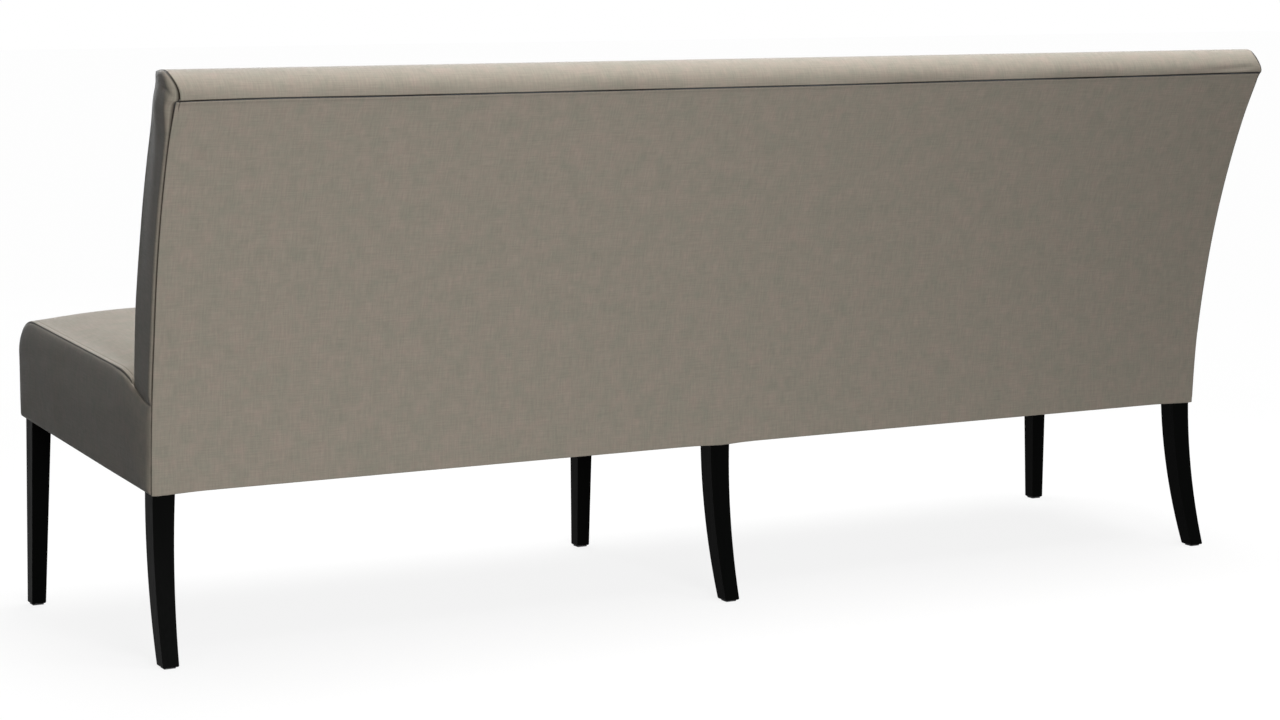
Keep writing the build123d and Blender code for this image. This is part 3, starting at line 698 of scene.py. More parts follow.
def satin_material():
    name = "satin cover"
    if name in bpy.data.materials:
        return bpy.data.materials[name]
    cloth = bpy.context.scene.bench_cover
    made, tree, shader = new_material(name)
    spots = node(tree, "ShaderNodeTexCoord", -1300, 0)
    weave = node(tree, "ShaderNodeGroup", -1000, 0, node_tree=satin_group())
    weave.inputs["Pitch"].default_value = cloth.thread
    tree.links.new(spots.outputs["UV"], weave.inputs["Pattern"])
    tree.links.new(spots.outputs["Object"], weave.inputs["Place"])
    base, warm, cool = (tuple(c) for c in (cloth.colour, cloth.warm, cloth.cool))
    mottled = ramp(tree, -750, 200, weave.outputs["Mottle"], [(0.30, cool), (0.5, base), (0.70, warm)])
    dull, plain, bright = ((tone,) * 3 for tone in (0.91, 1.0, 1.09))
    light = ramp(tree, -750, -50, weave.outputs["Slub"], [(0.36, dull), (0.5, plain), (0.64, bright)])
    woven = multiplied(tree, -450, 100, mottled, light)
    # Painted shade: the Seam attribute darkens the colour to near black in seams, folded edges, creases and
    # under the roll
    seams = node(tree, "ShaderNodeAttribute", -750, 400, attribute_type="GEOMETRY", attribute_name="Seam")
    deep = ramp(tree, -500, 400, seams.outputs["Fac"], [(0.25, plain), (1.0, (0.05, 0.04, 0.032))])
    tree.links.new(multiplied(tree, -250, 200, woven, deep), shader.inputs["Base Color"])
    rough = map_range(tree, -450, -150, weave.outputs["Slub"], (0.35, 0.65), (0.50, 0.42))
    tree.links.new(rough, shader.inputs["Roughness"])
    relief(tree, shader, weave.outputs["Height"], 0.25, 0.0006)
    shader.inputs["Sheen Weight"].default_value = 0.25
    shader.inputs["Sheen Tint"].default_value = (0.82, 0.91, 1.0, 1.0)
    shader.inputs["Sheen Roughness"].default_value = 0.4
    shader.inputs["Specular IOR Level"].default_value = 0.02
    return made


def grain_group():
    """Straight wood grain: streaks, pores and growth bands along one axis."""
    if "Wood grain" in bpy.data.node_groups:
        return bpy.data.node_groups["Wood grain"]
    tree = bpy.data.node_groups.new("Wood grain", "ShaderNodeTree")
    start, end = group_sockets(
        tree,
        [("Place", "NodeSocketVector", None), ("Stretch", "NodeSocketVector", (1.0, 1.0, 1.0))],
        [("Bands", "NodeSocketFloat"), ("Pores", "NodeSocketFloat")],
    )
    stretch = node(tree, "ShaderNodeVectorMath", -500, 0, operation="MULTIPLY")
    tree.links.new(start.outputs["Place"], stretch.inputs[0])
    tree.links.new(start.outputs["Stretch"], stretch.inputs[1])
    bands = noise_node(tree, -300, 100, stretch.outputs[0], 60.0, 5.0, Distortion=0.6)
    pores = noise_node(tree, -300, -200, stretch.outputs[0], 420.0, 2.0)
    tree.links.new(bands, end.inputs["Bands"])
    tree.links.new(pores, end.inputs["Pores"])
    return tree


def wood_material(name, dark, light, stretch, roughness, relief_depth, gloss=0.4):
    made, tree, shader = new_material(name)
    spots = node(tree, "ShaderNodeTexCoord", -1200, 0)
    grain = node(tree, "ShaderNodeGroup", -950, 0, node_tree=grain_group())
    grain.inputs["Stretch"].default_value = stretch
    tree.links.new(spots.outputs["Object"], grain.inputs["Place"])
    colour = ramp(tree, -700, 150, grain.outputs["Bands"], [(0.3, dark), (0.7, light)])
    tree.links.new(colour, shader.inputs["Base Color"])
    between = (roughness - 0.05, roughness + 0.07)
    rough = map_range(tree, -450, -150, grain.outputs["Pores"], (0.3, 0.7), between)
    tree.links.new(rough, shader.inputs["Roughness"])
    relief(tree, shader, grain.outputs["Pores"], 0.2, relief_depth)
    shader.inputs["Specular IOR Level"].default_value = gloss
    return made


def speckled_material(name, first, second, scale, roughness, relief_depth, metallic=0.0):
    """A small-scale material: felt, webbing, board, cloth or plated steel."""
    made, tree, shader = new_material(name)
    spots = node(tree, "ShaderNodeTexCoord", -1000, 0)
    speckle = noise_node(tree, -750, 0, spots.outputs["Object"], scale, 4.0)
    colour = ramp(tree, -500, 150, speckle, [(0.35, first), (0.65, second)])
    tree.links.new(colour, shader.inputs["Base Color"])
    relief(tree, shader, speckle, 0.4, relief_depth)
    shader.inputs["Roughness"].default_value = roughness
    shader.inputs["Metallic"].default_value = metallic
    return made


def background_rays(tree):
    """1 for the rays that see the background straight, in gloss or through glass, and 0 for its light."""
    path = node(tree, "ShaderNodeLightPath", -650, 300)
    seen = math_node(tree, "MAXIMUM", -450, 300, path.outputs["Is Camera Ray"], path.outputs["Is Glossy Ray"])
    return math_node(tree, "MAXIMUM", -300, 300, seen, path.outputs["Is Transmission Ray"])


def mixed_surface(tree, x, share, first, second, out):
    """Shows the second shader by its share, and the first for the rest."""
    blend = node(tree, "ShaderNodeMixShader", x, 0)
    tree.links.new(share, blend.inputs["Fac"])
    tree.links.new(first.outputs[0], blend.inputs[1])
    tree.links.new(second.outputs[0], blend.inputs[2])
    tree.links.new(blend.outputs[0], out.inputs["Surface"])


# Padding


def swell(piece, held, pressure, most, steps=16):
    """Lets the padding push the cover out as cloth under pressure, held at its seams, and keeps the shape."""
    group = piece.vertex_groups.new(name="held")
    for index, weight in enumerate(held):
        if weight > 0:
            group.add([index], weight, "REPLACE")
    cloth = piece.modifiers.new("Cloth", "CLOTH")
    settings = cloth.settings
    settings.quality = 5
    settings.mass = 0.3
    settings.use_pressure = True
    settings.uniform_pressure_force = pressure
    settings.vertex_group_mass = "held"
    settings.effector_weights.gravity = 0.0
    cloth.point_cache.frame_start = 1
    cloth.point_cache.frame_end = steps
    scene = bpy.context.scene
    for step in range(1, steps + 1):
        scene.frame_set(step)
    shaped = piece.evaluated_get(bpy.context.evaluated_depsgraph_get()).to_mesh()
    moved = [v.co.copy() for v in shaped.vertices]
    piece.evaluated_get(bpy.context.evaluated_depsgraph_get()).to_mesh_clear()
    piece.modifiers.remove(cloth)
    scene.frame_set(1)
    for vertex, place in zip(piece.data.vertices, moved):
        step = place - vertex.co
        if step.length > most:
            step = step * (most / step.length)
        vertex.co = vertex.co + step
    piece.vertex_groups.clear()


def pad_out(piece, freedom):
    """Swells a pad where freedom(place) is over 0, then finishes it."""
    values = bpy.context.scene.bench_cover
    held = [1.0 - freedom(v.co) for v in piece.data.vertices]
    swell(piece, held, values.pressure, values.swell)
    soften(piece)


def stations(side_reach, run, steps, near_end):
    """Places along the bench as (side, share of the way to the end, distance from the end)."""
    half = side_reach - run
    rows = [(-1, 1 - d / run, d) for d in near_end]
    rows += [(0, -1 + 2 * k / steps, half) for k in range(steps + 1)]
    return rows + [(1, 1 - d / run, d) for d in reversed(near_end)]


# Pieces


def seat_section(row):
    """The seat pad's section at a station: its cover, then its underside, back to the start."""
    side, share, distance = row
    groove = groove_depth * bell(distance, felled_width, groove_width) if side else 0.0
    inset = edge_fall(distance, seat_edge_radius, seat_edge_radius) + groove
    outer = seat_outline((share if side else 0.0) ** 2, inset)
    tail_y, tail_z = outer[-1]
    inner_y = front_y + front_tuck + cover
    edge_z = outer[0][1]
    tail_floor, front_floor = (bottom_z(y) + rail_top + floor_gap for y in (tail_y, inner_y))
    under = [(tail_y, (tail_z + tail_floor) / 2), (tail_y, tail_floor), (inner_y, front_floor)]
    under += [(inner_y, (front_floor + edge_z) / 2), (inner_y, edge_z), outer[0]]
    return outer + under


class BENCH_OT_seat_pad(bpy.types.Operator):
    """Makes the padded seat with its one cover over the top and the front"""

    bl_idname = "bench.seat_pad"
    bl_label = "Seat pad"

    def execute(self, context):
        rows = stations(half_back, crown_run, middle_steps, end_steps)
        sections = [seat_section(row) for row in rows]
        even_half = half_back - crown_run

        def point(i, j):
            side, share, distance = rows[i]
            y, z = sections[i][j]
            if side == 0:
                return (share * even_half, y, z)
            return (side * (even_half + (end_x(y) - even_half) * share), y, z)

        # Painted seam shade at the seat's ends and along the felled groove just in from them
        def seam(i, j):
            side, share, distance = rows[i]
            return min(distance, 0.0004 + 1.5 * abs(distance - felled_width)) if side else 1.0

        def freedom(place):
            x, y, z = place
            on_rails = z < bottom_z(y) + rail_top + 0.01 and y > front_y + 0.006
            if on_rails:
                return 0.0
            from_end = clamped((end_x(y) - abs(x) - 0.012) / 0.03)
            from_edge = clamped((z - bottom_z(y) - 0.02) / 0.03)
            from_back = clamped((back_foot_y - seat_tail - 0.01 - y) / 0.05)
            return min(from_end, from_edge, from_back)

        bm = lattice("seat", len(rows), len(sections[0]), point, closed=True, seam=seam)
        piece = add_cover("seat_pad", bm, ("seat_top_cover", "seat_foam"))
        pad_out(piece, freedom)
        return {"FINISHED"}


def seat_back_seam():
    """Seam between the seat's end panel and the back's end strip, from the seat's top edge to the rear."""
    start = (back_foot_y - dip_start, seat_rear_z - cover)
    knee = (back_foot_y - 0.054, seat_rear_z - 0.022)
    foot_z = seat_rear_z - 0.0465
    foot = (arc_y(foot_z, rear_radius), foot_z)
    bend_one = ((start[0] + knee[0]) / 2, (start[1] + knee[1]) / 2 + 0.0032)
    bend_two = ((knee[0] + foot[0]) / 2 - 0.003, (knee[1] + foot[1]) / 2 - 0.0040)
    return arc_points(start, bend_one, knee, 8), arc_points(knee, bend_two, foot, 10) + [foot]


def make_seat_end(side, name):
    """One boxing panel, with the seat above it, the back's strip and the rear panel behind it."""
    outline = seat_outline(1.0, felled_inset)
    first, second = seat_back_seam()
    tucked = first + second
    top = [p for p in outline[rise_steps:] if p[0] < first[0][0]] + tucked
    near_y = outline[rise_steps][0]
    front = [(near_y, bottom_z(near_y)), (near_y, top[0][1])]
    rear = [(arc_y(z, rear_radius), z) for z in (cover_bottom_rear, 0.30, 0.34, 0.37, second[-1][1])]
    foot_y = rear[0][0]
    low = [(near_y, bottom_z(near_y)), (foot_y, bottom_z(foot_y))]
    felled = [p for p in top if p[0] <= first[0][0] + 1e-6]
    # Each stretch of the border, with the radius over which the cover falls away to it
    border = ((felled, 0.0240), (front, 0.0200), (rear, 0.0200), (tucked, 0.0060), (low, 0.0120))
    ys = [near_y + d for d in close_steps] + [near_y + d for d in (0.013, 0.019, 0.027, 0.037, 0.049)]
    far = foot_y - close_steps[-1]
    ys += [ys[-1] + (far - ys[-1]) * k / 26 for k in range(1, 26)]
    ys += [foot_y - d for d in reversed(close_steps)]
    high_steps = 18
    columns = len(close_in(0.0, 1.0, high_steps))
    base, fullness, full_run = 0.0040, 0.0058, 0.085
    broad_softness, fine_softness, soft_run = 0.0040, 0.0009, 0.03
    lean_run, rearward_run = 0.05, 0.15

    def place(i, j):
        y = ys[i]
        bend = max(0.0, 1.0 - (foot_y - y) / lean_run)
        high = height_at(top, y + bend * (second[-1][0] - foot_y))
        z = close_in(bottom_z(y), high, high_steps)[j]
        return y + bend * (arc_y(max(z, cover_bottom_rear), rear_radius) - foot_y), z

    def point(i, j):
        y, z = place(i, j)
        found = border_distance((y, z), border)
        near = min(distance for distance, radius, reach in found)
        soft = broad_softness * ripple(y * 7.0, z * 11.0, side * 3.0)
        soft += fine_softness * ripple(y * 19.0, z * 26.0, side * 6.0)
        soft *= min(1.0, near / soft_run)
        full = fullness * math.sin(math.pi * clamped(near / full_run) * 0.5)
        sway = rear_sway(side, z)
        face = end_x(y) + base + (sway + end_pillow[side] - base) * eased(y / rearward_run) + full
        rises = (0.0044, 0.0064, face - half_back - sway - 0.0008, 0.0032, 0.0050)
        falls = [edge_fall(distance, radius, rise) for (distance, radius, reach), rise in zip(found, rises)]
        return (side * (face - max(falls) + soft), y, z)

    # Painted seam shade along the felled top, the front and the rear borders
    def seam(i, j):
        return min(found[0] for found in border_distance(place(i, j), border[:3]))

    bm = lattice(name, len(ys), columns, point, seam=seam)
    turn_in(bm, lambda at: toward_middle(at, side, (near_y + foot_y) / 2, 0.37))
    add_end_cover(f"seat_end_{name}", bm, f"seat_end_panel_{name}", side)


class BENCH_OT_seat_ends(bpy.types.Operator):
    """Makes the boxing panels at the two ends of the seat"""

    bl_idname = "bench.seat_ends"
    bl_label = "Seat end panels"

    def execute(self, context):
        for side, name in both_ends:
            make_seat_end(side, name)
        return {"FINISHED"}


def back_section(row):
    """The back pad's section at a station: its cover, the tuck under the roll, its face on the webbing."""
    side, share, distance = row
    inset = edge_fall(distance, back_edge_radius, back_edge_radius)
    outer = back_outline((share if side else 0.0) ** 2, inset)
    seam_y, seam_z = outer[-1]
    seam_y -= roll_tuck
    tuck = ((0.0010, 0.0014), (0.0032, 0.0021), (0.0065, 0.0018), (0.0095, 0.0010))
    under = [(seam_y - back, seam_z - down) for back, down in tuck]
    inner_z = back_rail_top_z + pad_gap
    under += [(arc_y(inner_z, board_radius) + 0.001, inner_z)]
    heights = (inner_z, 0.75, 0.63, 0.51, back_low_z)
    inner = [(arc_y(z, webbing_radius + pad_gap), z) for z in heights]
    return outer + under + inner + [outer[0]]


class BENCH_OT_back_pad(bpy.types.Operator):
    """Makes the padded back with its cover over the front and the top roll"""

    bl_idname = "bench.back_pad"
    bl_label = "Back pad"

    def execute(self, context):
        pad_half = half_back - pad_end_x
        roll_hold_z, roll_hold_run = 0.876, 0.16
        # The pleat under the right end's arc seam gets a wider band of painted shade
        pleat_middle, pleat_width, pleat_shade = 0.08, 0.05, 0.0016
        rows = stations(pad_half, crown_run, middle_steps, end_steps)
        sections = [back_section(row) for row in rows]
        outline_count = len(back_outline(0.0, 0.0))
        roll_first = outline_count - roll_steps - 3

        def even_place(i, j):
            side, share, distance = rows[i]
            y, z = sections[i][j]
            if side == 0:
                return (share * (pad_half - crown_run), y, z)
            reach = 0.0
            if j < front_steps:
                reach = edge_lean(side, z) - 0.0022
                reach += (arc_reach(side, 0.0) - reach) * eased((z - 0.84) / 0.04)
            elif j < outline_count + 6:
                reach = arc_reach(side, outline_share(j - front_steps))
            return (side * (pad_half + reach * eased((0.06 - distance) / 0.055) - distance), y, z)

        def point(i, j):
            x, y, z = even_place(i, j)
            if roll_first < j < outline_count:
                y -= roll_tuck_in(x, z)
            if roll_first < j < outline_count + 5:
                z += seam_rise(x, z)
            return (x, y, z)

        # Painted shade at the ends' seams, widened at the pleat, and on the cover tucked under and just above
        # the roll's rear seam
        def seam(i, j):
            side, share, distance = rows[i]
            if side > 0 and front_steps <= j < outline_count:
                distance -= pleat_shade * bell(outline_share(j - front_steps), pleat_middle, pleat_width)
            below = 0.0 if outline_count <= j < outline_count + 5 else 1.0
            if roll_first < j < outline_count:
                below = sections[i][j][1] - top_seam_z
            return min(distance if side else 1.0, below)

        def freedom(place):
            x, y, z = place
            on_webbing = y > arc_y(min(z, top_seam_z), webbing_radius + 0.002)
            if on_webbing and z < back_rail_top_z + 0.004:
                return 0.0
            from_end = clamped((pad_half - abs(x) - 0.004) / 0.03)
            from_edge = clamped((z - back_low_z - 0.03) / 0.05)
            below_roll = eased((roll_hold_z - z) / roll_hold_run)
            return min(from_end, from_edge, below_roll)

        bm = lattice("back", len(rows), len(sections[0]), point, closed=True, seam=seam)
        piece = add_cover("back_pad", bm, ("back_front_cover", "back_foam"))
        pad_out(piece, freedom)
        return {"FINISHED"}


def back_end_lines(side):
    """The strip's two long edges, as points (y, z, x) that face each other, and its border."""
    outline = back_outline(1.0, 0.0008)
    low_rear, low_front = 0.3880, 0.4080
    heights = [low_rear, 0.3930, 0.3970, 0.4000, 0.4030, 0.4065, 0.4110, 0.4170]
    heights += [0.4260 + (0.8400 - 0.4260) * k / 22 for k in range(23)]
    heights += [0.8450, 0.8495, 0.8535, 0.8570, 0.8600, 0.8625, top_seam_z]
    seam_line = []
    for k in range(front_steps, len(outline)):
        share = outline_share(k - front_steps)
        y, z = outline[k]
        if share > corner_share:
            y -= roll_tuck_in(side * half_back, z)
            z += seam_rise(side * half_back, z)
        gape = pleat_gape[side] * bell(share, 0.09, 0.11)
        seam_line.append((y, z - gape, half_back + arc_reach(side, share) + 0.0009))
    rear_line = []
    for z in heights:
        near_top = eased(1.0 - (top_seam_z - z) / 0.006)
        y = arc_y(z, rear_radius) + near_top * (seam_line[-1][0] - arc_y(top_seam_z, rear_radius))
        x = half_back + 0.0008 + rear_sway(side, z)
        rear_line.append((y, z + seam_rise(side * half_back, z), x))
    front_line = []
    for height in heights:
        rise = (outline[front_steps][1] - low_front) * (height - low_rear) / (top_seam_z - low_rear)
        z = low_front + rise
        tuck = max(0.0, 0.426 - z) * 0.9
        x = half_back + edge_lean(side, z) - 0.0018
        front_line.append((front_arc_y(max(z, back_low_z), 0.0) + 0.0020 + tuck, z, x))
    split, steps = 8, 20
    over = seam_line[: split + 1]
    roll_back = list(reversed(seam_line[split:]))
    starts = front_line + [point_along(over, k / steps * 0.96) for k in range(1, steps + 1)]
    ends = rear_line + [point_along(roll_back, k / steps * 0.97) for k in range(1, steps + 1)]
    base = len(heights) - 1
    border = (
        (front_line, 0.0050),
        (starts[base:], 0.0075),
        (ends[base:], 0.0085),
        (rear_line, 0.0062),
        ([starts[-1], ends[-1]], 0.0085),
    )
    return starts, ends, border


def make_back_end(side, name):
    """One strip, from the seat up the end of the back and round under the roll's arc seam."""
    starts, ends, border = back_end_lines(side)
    strip_steps = 22
    columns = len(close_in(0.0, 1.0, strip_steps))
    first, second = seat_back_seam()
    tucked = first + second
    crease = [(0.3120, 0.8800), (0.3200, 0.8805), (0.3285, 0.8765), (0.3340, 0.8700)]
    crease_depth, crease_width = 0.0024, 0.0020
    softness, lift_run = 0.0009, 0.030

    def place(i, j):
        a, b = starts[i], ends[i]
        width = math.hypot(b[0] - a[0], b[1] - a[1])
        scale = min(1.0, width / 0.045)
        shares = [d * scale / width for d in close_steps]
        inner = [shares[-1] + (1 - 2 * shares[-1]) * k / strip_steps for k in range(1, strip_steps)]
        share = (shares + inner + [1 - s for s in reversed(shares)])[j]
        return a[0] + (b[0] - a[0]) * share, a[1] + (b[1] - a[1]) * share

    def padded_face(y, z):
        """X of the strip's padded face, fuller under the arc seam and drawn in behind the seat."""
        front = front_arc_y(min(z, bench_height - corner_drop), 0.0)
        deep = clamped((y - front) / 0.085)
        full = arc_fullness[side] * eased((z - 0.80) / 0.07) * eased((0.354 - y) / 0.034)
        full *= 1.0 - math.exp(-max(y - front, 0.0) / 0.011)
        lean = edge_lean(side, z)
        sway = rear_sway(side, min(z, roll_end_z))
        sway -= roll_end_draw[side] * eased((z - roll_end_z + 0.010) / 0.040)
        pillow = (sway + end_pillow[side] - lean) * eased(deep * 1.2)
        above = z - height_at(tucked, y)
        drawn = 0.0030 * eased((0.016 - above) / 0.016) + 0.0050 * eased(-above / 0.006)
        return half_back + lean + full + pillow - drawn

    def in_crease(y, z):
        if side < 0:
            return 0.0
        return bell(border_distance((y, z), [(crease, 1.0)])[0][0], 0.0, crease_width)

    def point(i, j):
        y, z = place(i, j)
        near = border_distance((y, z), border)
        face = padded_face(y, z)
        fall = max(edge_fall(d, radius, max(face - reach, 0.0)) for d, radius, reach in near)
        fall -= max(max(reach - face, 0.0) * max(0.0, 1.0 - d / lift_run) ** 2 for d, radius, reach in near)
        inner = min(d for d, radius, reach in near)
        soft = softness * ripple(y * 12.0, z * 7.0, side * 5.0) * min(1.0, inner / 0.02)
        return (side * (face - fall + soft - crease_depth * in_crease(y, z)), y, z)

    # Painted shade at the strip's borders, just above the seat as a contact shadow, and in the crease
    def seam(i, j):
        y, z = place(i, j)
        near = min(found[0] for found in border_distance((y, z), border))
        seat_shade_distance = border_distance((y, z), [(tucked, 1.0)])[0][0]
        if z < height_at(tucked, y):
            seat_shade_distance = 0.0
        return min(near, seat_shade_distance, 0.0010 + 0.004 * (1.0 - in_crease(y, z)))

    def inward(at):
        if 0.845 < at.z < 0.8655 and at.y > arc_y(at.z, rear_radius) - 0.012:
            return (-side * 0.0008, -0.0030, 0.0)
        return toward_middle(at, side, 0.17 + (at.z - 0.45) * 0.29, min(max(at.z, 0.43), 0.865))

    bm = lattice(name, len(starts), columns, point, seam=seam)
    turn_in(bm, inward)
    add_end_cover(f"back_end_{name}", bm, f"back_end_strip_{name}", side)


class BENCH_OT_back_ends(bpy.types.Operator):
    """Makes the narrow strips that close the two ends of the back and round over into the roll"""

    bl_idname = "bench.back_ends"
    bl_label = "Back end strips"

    def execute(self, context):
        for side, name in both_ends:
            make_back_end(side, name)
        return {"FINISHED"}


class BENCH_OT_rear_panel(bpy.types.Operator):
    """Makes the smooth cover behind the back"""

    bl_idname = "bench.rear_panel"
    bl_label = "Rear panel"

    def execute(self, context):
        half = half_back + 0.0004
        edge_radius = 0.0018
        top = top_seam_z - seam_gap
        xs = close_in(-half, half, 60)
        zs = close_in(cover_bottom_rear, top, 26)
        legs = (-half_back + 0.02, 0.0, half_back - 0.02)
        proud, hems = 0.0010, 0.006
        leg_drop, leg_width = 0.0030, 0.024
        bead_height, bead_below, bead_width = 0.0014, 0.0024, 0.0016
        wave_depth, waver_depth = 0.0009, 0.0005
        sway_run = 0.12

        def point(i, j):
            x, z = xs[i], zs[j]
            edge = min(half - abs(x), top - z)
            low = z - cover_bottom_rear
            fall = max(edge_fall(edge, edge_radius, 0.0020), edge_fall(low, 0.0012, 0.0010))
            wave = wave_depth * ripple(x * 2.6, z * 2.1, 4.0) * clamped(edge / 0.06)
            bead = bead_height * bell(top - z, bead_below, bead_width)
            y = arc_y(z, rear_radius) + proud - fall + wave + bead
            drop = leg_drop * sum(bell(x, leg, leg_width) for leg in legs) * math.exp(-low / 0.02)
            waver = waver_depth * ripple(x * 8.0, 2.0, 1.0) * math.exp(-(top - z) / 0.01)
            rise = waver + seam_rise(x, z)
            side = 1 if x > 0 else -1
            x += side * eased((abs(x) - half + sway_run) / sway_run) * rear_sway(side, z)
            return (x, y, z - drop + rise)

        # Painted seam shade along the top, under the roll, and along the two ends
        def seam(i, j):
            return min(half - abs(xs[i]), top - zs[j])

        bm = lattice("rear", len(xs), len(zs), point, seam=seam)
        turn_in(bm, lambda at: (-math.copysign(0.0006, at.x) * (abs(at.x) > half - 0.004), -0.0026, 0.0))
        piece = add_cover("rear_panel", bm, ("back_rear_panel",), outward=(0, 1, 0))
        thicken(piece, panel_cover_wall)
        soften(piece)
        return {"FINISHED"}


class BENCH_OT_dust_cover(bpy.types.Operator):
    """Makes the thin cloth under the seat, with open notches round the six legs"""

    bl_idname = "bench.dust_cover"
    bl_label = "Dust cover"

    def execute(self, context):
        low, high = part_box("dust_cover")
        lift = low.z - bottom_z(high.y)
        near_front, near_rear = -0.3032, 0.1398
        outer_front, outer_rear = 0.9963, 0.9580
        centre_front, centre_rear = 0.0172, 0.0190
        margin = 0.010
        thickness = 0.0010
        most_sag = 0.0022
        between = 14
        across_steps = 20
        ys = [low.y, (low.y + near_front) / 2]
        ys += [near_front + (near_rear - near_front) * k / between for k in range(between + 1)]
        ys += [(high.y + near_rear) / 2, high.y]

        def half_line(y):
            """Half of the places across at a depth: middle notch, even steps, corner notch, edge."""
            share = clamped((y - near_front) / (near_rear - near_front))
            centre = centre_front + (centre_rear - centre_front) * share
            outer = outer_front + (outer_rear - outer_front) * share
            steps = [centre + (outer - centre) * k / across_steps for k in range(across_steps + 1)]
            return steps + [end_x(y) - margin]

        count = len(half_line(0.0))

        def point(i, j):
            y = ys[j]
            half = half_line(y)
            x = -half[count - 1 - i] if i < count else half[i - count]
            along = math.sin(math.pi * clamped((y - low.y) / (high.y - low.y)))
            sag = most_sag * along * math.sin(math.pi * min(1.0, abs(x))) ** 2
            return (x, y, bottom_z(y) + lift + thickness - sag)

        def in_notch(face):
            middle = face.calc_center_median()
            across = abs(middle.x)
            if middle.y < near_front:
                return across < centre_front or across > outer_front
            return middle.y > near_rear and (across < centre_rear or across > outer_rear)

        bm = lattice("dust", 2 * count, len(ys), point)
        bmesh.ops.delete(bm, geom=[face for face in bm.faces if in_notch(face)], context="FACES")
        area = sum(face.calc_area() for face in bm.faces)
        dust = speckled_material("dust cloth", (0.012, 0.012, 0.012), (0.03, 0.03, 0.03), 900.0, 0.95, 0.0003)
        piece = add_piece("seat_dust_cover", bm, dust, ("dust_cover",), outward=(0, 0, 1))
        thicken(piece, thickness)
        return {"FINISHED"}


class BENCH_OT_frame_finish(bpy.types.Operator):
    """Gives the legs and the hidden frame their finishes"""

    bl_idname = "bench.frame_finish"
    bl_label = "Frame finishes"

    def execute(self, context):
        wood = context.scene.bench_wood
        lacquer = tuple(wood.lacquer)
        lighter = tuple(c * 1.5 for c in lacquer)
        black = wood_material("black lacquer", lacquer, lighter, (1.0, 1.0, 0.06), 0.42, 0.0002, gloss=0.015)
        beech = tuple(wood.beech)
        pale = tuple(min(1.0, c * 1.25) for c in beech)
        rails = wood_material("beech", beech, pale, (0.06, 1.0, 1.0), 0.55, 0.0003)
        board = speckled_material("hardboard", (0.16, 0.09, 0.05), (0.24, 0.15, 0.09), 300.0, 0.7, 0.0003)
        webbing = speckled_material("webbing", (0.30, 0.24, 0.16), (0.45, 0.38, 0.27), 500.0, 0.9, 0.0006)
        felt = speckled_material("felt", (0.05, 0.05, 0.052), (0.11, 0.11, 0.11), 1200.0, 1.0, 0.0005)
        zinc = speckled_material("zinc", (0.55, 0.56, 0.58), (0.72, 0.73, 0.74), 160.0, 0.35, 0.0001, 1.0)
        # The first finish whose list has the start of a node's name is the node's
        finishes = (
            (black, ("front_leg", "rear_leg")),
            (felt, ("foot_pads",)),
            (zinc, ("corner_block_screws",)),
            (webbing, ("seat_cross", "seat_long", "back_straps")),
            (board, ("back_board",)),
            (rails, ("front_rail", "rear_rail", "end_rail", "middle_rail", "corner_blocks")),
            (rails, ("back_top", "back_middle", "back_lower")),
        )
        for name, node_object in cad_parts.items():
            if node_object.hide_render:
                continue
            finish = next((m for m, starts in finishes if name.startswith(starts)), None)
            if finish is None:
                raise RuntimeError(f"{name} has no finish")
            if not node_object.material_slots:
                node_object.data.materials.append(finish)
            for place in node_object.material_slots:
                place.link = "OBJECT"
                place.material = finish
        return {"FINISHED"}


# Floor as it is seen: white far from the bench, and near it partly its own pale self with the bench's shadow
floor_bounce = 0.09
floor_pale = 0.90
shadow_range = (0.9, 2.8)
white_share = (0.85, 0.985)


def make_floor(scene):
    bm = bmesh.new()
    bmesh.ops.create_grid(bm, x_segments=1, y_segments=1, size=30.0)
    mesh = bpy.data.meshes.new("studio_floor")
    bm.to_mesh(mesh)
    bm.free()
    floor = bpy.data.objects.new("studio_floor", mesh)
    scene.collection.objects.link(floor)
    made, tree, shader = new_material("studio floor")
    shader.inputs["Roughness"].default_value = 0.9
    glow = node(tree, "ShaderNodeEmission", -100, -300)
    seen = background_rays(tree)
    pale = math_node(tree, "MULTIPLY", -450, 100, seen, floor_pale - floor_bounce)
    pale = math_node(tree, "ADD", -300, 100, pale, floor_bounce)
    tree.links.new(pale, shader.inputs["Base Color"])
    centre = node(tree, "ShaderNodeTexCoord", -800, 550)
    away = node(tree, "ShaderNodeVectorMath", -650, 550, operation="LENGTH")
    tree.links.new(centre.outputs["Object"], away.inputs[0])
    white = map_range(tree, -450, 550, away.outputs["Value"], shadow_range, white_share)
    share = math_node(tree, "MULTIPLY", -150, 300, seen, white)
    mixed_surface(tree, 300, share, shader, glow, tree.nodes["Material Output"])
    floor.data.materials.append(made)


def make_world(scene, strength):
    """A weak even light from all round, and white where it is seen."""
    world = bpy.data.worlds.new("studio")
    world.use_nodes = True
    scene.world = world
    sky = world.node_tree
    sky.nodes.clear()
    even = node(sky, "ShaderNodeBackground", 0, 100)
    even.inputs["Strength"].default_value = strength
    white = node(sky, "ShaderNodeBackground", 0, -100)
    for glow in (even, white):
        glow.inputs["Color"].default_value = (1.0, 1.0, 1.0, 1.0)
    mixed_surface(sky, 200, background_rays(sky), even, white, node(sky, "ShaderNodeOutputWorld", 400, 0))


def soft_light(scene, name, power, size, place, aim):
    lamp = bpy.data.lights.new(name, "AREA")
    lamp.shape = "RECTANGLE"
    lamp.size, lamp.size_y = size
    lamp.energy = power
    holder = bpy.data.objects.new(name, lamp)
    holder.location = place
    holder.rotation_euler = (Vector(aim) - Vector(place)).to_track_quat("-Z", "Y").to_euler()
    scene.collection.objects.link(holder)


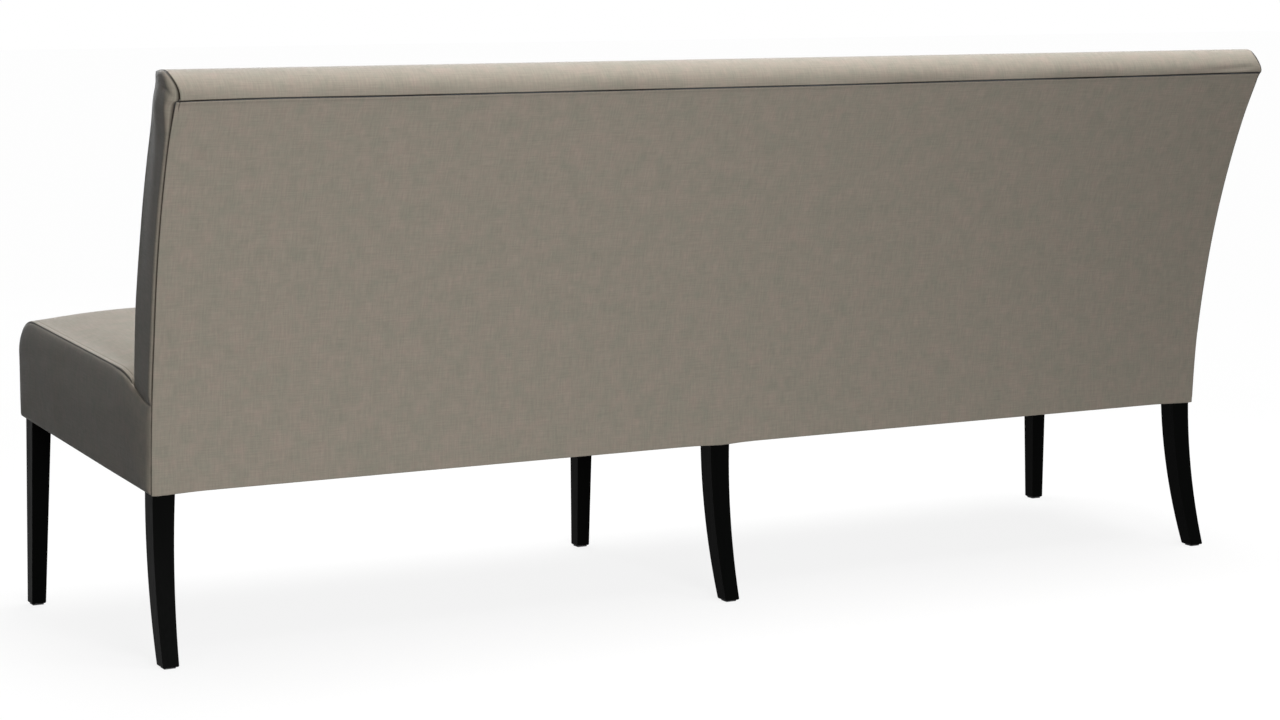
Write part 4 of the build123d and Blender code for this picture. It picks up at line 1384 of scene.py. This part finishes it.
def make_camera(scene):
    camera = bpy.data.cameras.new("camera")
    camera.lens = camera_lens
    camera.sensor_width = sensor_width
    camera.clip_end = 200.0
    holder = bpy.data.objects.new("camera", camera)
    holder.location = camera_place
    level = math.cos(camera_pitch)
    ahead = Vector((-math.sin(camera_yaw) * level, -math.cos(camera_yaw) * level, -math.sin(camera_pitch)))
    holder.rotation_euler = ahead.to_track_quat("-Z", "Y").to_euler()
    scene.collection.objects.link(holder)
    scene.camera = holder


class BENCH_OT_stage(bpy.types.Operator):
    """Makes the floor, the soft light and the camera"""

    bl_idname = "bench.stage"
    bl_label = "Stage"

    def execute(self, context):
        scene = context.scene
        studio = scene.bench_studio
        make_floor(scene)
        make_world(scene, studio.air)
        for name, power, size, place, aim in (
            ("top_softbox", studio.top_light, (3.2, 2.6), (-0.45, -0.1, 3.2), (-0.3, 0.1, 0.5)),
            ("rear_softbox", studio.rear_light, (1.6, 1.7), (0.9, 3.8, 1.25), (1.6, 0.2, 0.45)),
            ("side_softbox", studio.side_light, (1.2, 1.6), (2.3, 0.9, 2.8), (1.0, 0.0, 0.45)),
            ("front_softbox", studio.front_light, (3.0, 2.0), (-0.4, -4.6, 1.5), (-0.3, 0.0, 0.5)),
        ):
            soft_light(scene, name, power, size, place, aim)
        make_camera(scene)
        scene.view_settings.view_transform = "Standard"
        return {"FINISHED"}


class BENCH_PT_panel(bpy.types.Panel):
    """Lists the bench's pieces and its sizes and colours"""

    bl_label = "Dining bench"
    bl_idname = "BENCH_PT_panel"
    bl_space_type = "VIEW_3D"
    bl_region_type = "UI"
    bl_category = "Bench"

    def draw(self, context):
        column = self.layout.column()
        for group in ("bench_cover", "bench_wood", "bench_studio"):
            values = getattr(context.scene, group)
            for name in type(values).__annotations__:
                column.prop(values, name)
        for kind in operators:
            column.operator(kind.bl_idname)


groups = {"bench_cover": BenchCover, "bench_wood": BenchWood, "bench_studio": BenchStudio}
operators = (
    BENCH_OT_seat_pad,
    BENCH_OT_seat_ends,
    BENCH_OT_back_pad,
    BENCH_OT_back_ends,
    BENCH_OT_rear_panel,
    BENCH_OT_dust_cover,
    BENCH_OT_frame_finish,
    BENCH_OT_stage,
)


def register():
    for kind in (*groups.values(), *operators, BENCH_PT_panel):
        bpy.utils.register_class(kind)
    for name, kind in groups.items():
        setattr(bpy.types.Scene, name, bpy.props.PointerProperty(type=kind))


def unregister():
    for name in groups:
        delattr(bpy.types.Scene, name)
    for kind in reversed((*groups.values(), *operators, BENCH_PT_panel)):
        bpy.utils.unregister_class(kind)


def main():
    register()
    bpy.ops.bench.seat_pad()
    bpy.ops.bench.seat_ends()
    bpy.ops.bench.back_pad()
    bpy.ops.bench.back_ends()
    bpy.ops.bench.rear_panel()
    bpy.ops.bench.dust_cover()
    bpy.ops.bench.frame_finish()
    bpy.ops.bench.stage()


if __name__ == "__main__":
    main()
